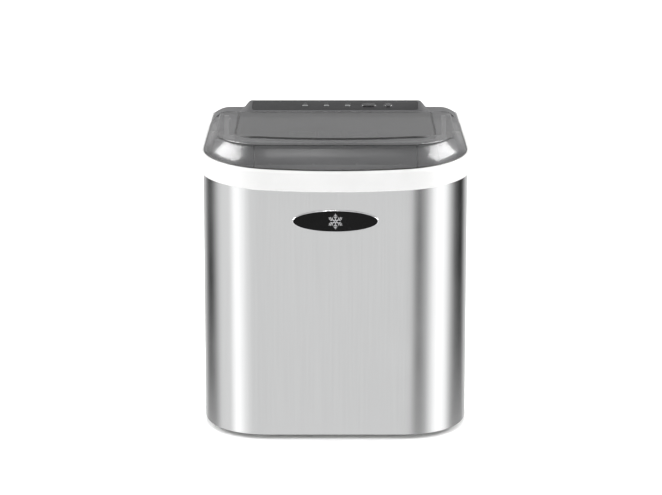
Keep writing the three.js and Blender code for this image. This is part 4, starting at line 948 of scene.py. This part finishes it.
def inner_rib(side, name):
    """A thin upright stiffener inside the front wall."""
    foot_y = -HALF_DEPTH + LID_INSET + 3.4
    faces_x = [side * (RIB_X + dx) for dx in (-RIB_HALF, RIB_HALF)]
    rings = [[(x, foot_y + back, z) for back, z in RIB_PROFILE] for x in faces_x]
    points, faces = loft(rings, capped=True)
    make_piece(f"lid_rib_{name}", points, faces, SMOKE, "lid", [], 30)


def lid_window():
    """The inset pane with a rounded rim, and the dark gasket that stands up round it."""
    section = [(-0.9, 3.0), (-0.9, 0.2), (-1.1, 0.0), (-1.6, -0.05)]
    points, faces = loft([window_ring(*row) for row in section], capped=True)
    pane = make_piece("smoked_window_pane", points, faces, SMOKE_PANE, "lid",
                      ["lid_window"], 35)
    steady_normals(pane)
    section = [
        (0.55, 2.9, 2.9), (0.55, -0.8, 0.3), (0.4, -1.25, 0.2), (0.0, -1.5, 0.15), (-0.45, -1.35, 0.2),
        (-0.8, -0.6, 0.3), (-0.8, 2.9, 2.9),
    ]
    points, faces = loft([window_ring(*row) for row in section], closed_stack=True)
    make_piece("window_gasket", points, faces, GASKET, "lid", [], 50)


# ---------------- rear cover and control panel

# Each cover section: place along the depth, height of its shoulders, height of the console, narrowing.
COVER_ROWS = [
    (35.0, 314.2, 314.8, 0.0), (37.0, 314.0, 315.2, 0.0), (63.0, 310.5, 321.8, 0.0),
    (69.0, 309.6, 321.2, 0.0), (93.0, 306.0, 316.0, 0.0), (135.0, 300.5, 307.5, 0.0),
    (163.0, 297.0, 301.5, 0.0), (172.0, 295.4, 298.5, 3.0), (177.0, 293.0, 294.6, 9.0),
]
COVER_WALL = 2.5
CONSOLE_HALF, CONSOLE_MIDDLE, CONSOLE_RAMP = 106.5, 50.0, 13.5
# The shoulder's curve: how far inside the cover's side, and its share of the way from its foot to its top.
SHOULDER_CURVE = [
    (0.0, 0.0), (0.6, 0.16), (1.7, 0.34), (5.0, 0.58), (9.0, 0.8), (14.0, 0.96), (20.0, 1.0),
]


def cover_section(y, shoulder, console, narrow, shrink=0.0, base=None):
    """The cover's cross-section at one place along its depth; base is for a foot lower than the collar's."""
    foot = LID_FOOT + ledge_rise_at(y)
    base = foot - 0.001 if base is None else base
    half = HALF_WIDTH - LID_INSET - narrow - shrink
    top = shoulder - shrink
    raised = max(console - shrink, top + 0.05)
    shoulder_line = [(half - inset, foot + (top - foot) * share) for inset, share in SHOULDER_CURVE]
    side = [(half, base)] + catmull(shoulder_line, 3)
    end = CONSOLE_HALF - shrink + 0.5
    ramp = [(end - CONSOLE_RAMP * t, ease(top, raised, t)) for t in (i / 8 for i in range(9))]
    right = side + ramp + [(CONSOLE_MIDDLE, raised)]
    left = [(-x, z) for x, z in reversed(right)]
    return [(x, y, z) for x, z in right + left]


def rear_cover():
    """The charcoal cover behind the lid, with the raised console and the seat for its panel."""
    rows = COVER_ROWS[:3] + catmull(COVER_ROWS[2:], 5)[1:]
    shell = cutter_of(*loft([cover_section(*row) for row in rows], capped=True))
    front, rear = rows[0][0] + COVER_WALL, rows[-1][0] - COVER_WALL
    inner_rows = [[min(max(y, front), rear), *heights] for y, *heights in rows]
    inner_rows[1][0] += 2.0
    inner_rows[-1][1] -= 1.0
    inner_rows[-1][2] -= 1.0
    inner_sections = [cover_section(*row, shrink=COVER_WALL, base=280.0) for row in inner_rows]
    tools = [cutter_of(*loft(inner_sections, capped=True)), cutter_of(*seat_cutter())]
    tools += [cutter_of(*cutter) for cutter in panel_cutters(0.5)]
    finish_piece(carved(shell, tools), "rear_housing", CHARCOAL, "cabinet",
                 ["rear_cover"], 28)


PANEL_HALF, PANEL_DEEP = 92.0, 11.5
LIGHTS = [("add_water", -33.5), ("ice_full", -9.7), ("ice_size", 14.0)]      # names and places across
LIGHT_WIDTH, LIGHT_HEIGHT = 6.0, 3.6
# Each button: name, place across, width and height.
BUTTONS = [("select_button", 37.7, 16.0, 7.5), ("power_button", 59.2, 9.0, 9.0)]


def shifted(points, dx, dy=0.0):
    """Points moved sideways and along the slope."""
    return [(x + dx, y + dy, z) for x, y, z in points]


def seat_cutter():
    """The cutter for the shallow seat that the panel lies in."""
    outline = rounded_rectangle(PANEL_HALF + 0.4, PANEL_DEEP + 0.4, 3.0)
    points, faces = loft([[(x, y, z) for x, y in outline] for z in (-1.9, 6.0)], capped=True)
    return on_slope(points), faces


def panel_cutters(clear):
    """Cutters for the holes that the buttons and lights sit in, that much larger all round."""
    cutters = []
    spots = [(x, width, height) for _, x, width, height in BUTTONS]
    spots += [(x, LIGHT_WIDTH, LIGHT_HEIGHT) for _, x in LIGHTS]
    for x, width, height in spots:
        half_x, half_y = width / 2 + clear, height / 2 + clear
        outline = rounded_rectangle(half_x, half_y, min(half_x, half_y) - 0.01)
        points, faces = loft([[(u, v, z) for u, v in outline] for z in (-8.0, 3.0)], capped=True)
        cutters.append((on_slope(shifted(points, x)), faces))
    return cutters


def cutter_of(points, faces):
    """A temporary object for cutting."""
    mesh = mesh_of("cutter", points, faces)
    turn = bmesh.new()
    turn.from_mesh(mesh)
    bmesh.ops.recalc_face_normals(turn, faces=turn.faces)
    turn.to_mesh(mesh)
    turn.free()
    return linked("cutter", mesh)


def carved(whole, tools):
    """The mesh of a solid after exact booleans with the tools, which are then removed."""
    for tool in tools:
        step = whole.modifiers.new("carve", "BOOLEAN")
        step.operation = "DIFFERENCE"
        step.solver = "EXACT"
        step.object = tool
    bpy.context.view_layer.update()
    graph = bpy.context.evaluated_depsgraph_get()
    mesh = bpy.data.meshes.new_from_object(whole.evaluated_get(graph))
    for made in [whole, *tools]:
        bpy.data.objects.remove(made)
    return mesh


def slope_piece(name, part, x, material, body, replaces=(), sharp=30):
    """A piece drawn flat, laid on the console's slope at that place across."""
    points, faces = part
    make_piece(name, on_slope(shifted(points, x)), faces, material, body, replaces, sharp)


def control_panel():
    """The panel film with rounded edges, its printed marks, the lights and the two push buttons."""
    outline = rounded_rectangle(PANEL_HALF, PANEL_DEEP, 2.6)
    points, faces = rounded_slab(outline, -1.6, 0.0, 0.3)
    whole = cutter_of(on_slope(points), faces)
    mesh = carved(whole, [cutter_of(*cutter) for cutter in panel_cutters(0.4)])
    finish_piece(mesh, "panel_film", PANEL_FILM, "cabinet", ["control_panel"], 30)
    for name, x in LIGHTS:
        outline = rounded_rectangle(LIGHT_WIDTH / 2, LIGHT_HEIGHT / 2, 1.7, 8)
        lens = rounded_slab(outline, -5.0, 0.45, 0.4)
        slope_piece(f"lens_{name}", lens, x, LENS, "cabinet", [f"indicator_{name}"], 35)
    for name, x, width, height in BUTTONS:
        radius = min(width, height) / 2 - 0.01
        outline = rounded_rectangle(width / 2, height / 2, radius, 10)
        cap = rounded_slab(outline, -5.5, 1.2, 0.8, 5)
        slope_piece(f"{name}_cap", cap, x, BLACK, name, [name], 40)
        ring = outline_ring(width / 2 + 1.0, height / 2 + 1.0, radius + 1.0)
        slope_piece(f"{name}_ring", ring, x, PRINT, "cabinet")
    panel_marks()


RING_LINE = 0.35                     # how wide the printed rings are
PICTOGRAM_UP = 6.0                   # from the lights to the pictograms above them


def outline_ring(half_x, half_y, radius):
    """A thin printed line round a rounded rectangle."""
    outer = rounded_rectangle(half_x, half_y, radius, 8)
    inner = rounded_rectangle(half_x - RING_LINE, half_y - RING_LINE, max(radius - RING_LINE, 0.05), 8)
    low, high = -0.01, 0.06
    section = ((outer, low), (outer, high), (inner, high), (inner, low))
    return loft([[(x, y, z) for x, y in outline] for outline, z in section], closed_stack=True)


def stroke_slab(points, width, z0, z1, closed=False):
    """A flat raised line through points."""
    left, right = [], []
    count = len(points)
    for i, (x, y) in enumerate(points):
        before = points[i - 1] if (closed or i > 0) else points[i]
        after = points[(i + 1) % count] if (closed or i < count - 1) else points[i]
        along = Vector((after[0] - before[0], after[1] - before[1])).normalized()
        side = Vector((-along.y, along.x)) * width / 2
        left.append((x + side.x, y + side.y))
        right.append((x - side.x, y - side.y))
    rings = [
        [(x, y, z0) for x, y in left], [(x, y, z1) for x, y in left],
        [(x, y, z1) for x, y in right], [(x, y, z0) for x, y in right],
    ]
    if closed:
        return loft(rings, closed_stack=True)
    points_out, faces = loft(rings, closed_stack=True, closed_rings=False)
    last = count - 1
    faces.append(tuple(ring * count for ring in range(4)))
    faces.append(tuple(ring * count + last for ring in (3, 2, 1, 0)))
    return points_out, faces


def arc(radius, start, end, steps, centre=(0.0, 0.0)):
    """Points along an arc between two angles in degrees."""
    turns = [math.radians(start + (end - start) * i / steps) for i in range(steps + 1)]
    return [(centre[0] + radius * math.cos(t), centre[1] + radius * math.sin(t)) for t in turns]


def square(left, right, low, high):
    """The corners of a square or a rectangle."""
    return [(left, low), (right, low), (right, high), (left, high)]


def panel_marks():
    """Plain pictograms above the lights, and the signs on the two buttons."""
    drop = [(0.0, 2.2), (-0.9, 0.7), (-1.25, -0.2)] + arc(1.25, 190, 350, 10, (0, -0.4))
    drop += [(1.25, -0.2), (0.9, 0.7)]
    cube = square(-1.5, 1.5, -1.3, 1.5)
    small, large = square(-2.3, -0.6, -1.3, 0.4), square(0.3, 3.0, -1.3, 1.4)
    parts = []
    for light, shape, width in ((0, drop, 0.35), (1, cube, 0.35), (2, small, 0.3), (2, large, 0.3)):
        points, faces = stroke_slab(shape, width, -0.02, 0.06, True)
        parts.append((shifted(points, LIGHTS[light][1], PICTOGRAM_UP), faces))
    slope_piece("panel_pictograms", merged(parts), 0.0, PRINT, "cabinet")
    select, power = BUTTONS
    button_sign("power_sign", power, [arc(2.1, 125, 415, 20), [(0, 0.8), (0, 2.9)]])
    button_sign("select_sign", select, [[(-2.6, 0.0), (2.6, 0.0)]])


def button_sign(name, button, lines):
    """A sign of raised lines on the cap of a push button."""
    sign = merged([stroke_slab(line, 0.5, 1.15, 1.27) for line in lines])
    slope_piece(name, sign, button[1], PRINT, button[0])


# ---------------- assembly

set_stage()
dress_cad_nodes()
steel_wrap()
top_collar()
grille(1)
grille(-1)
feet()
badge()
lid_shell()
lid_window()
rear_cover()
control_panel()
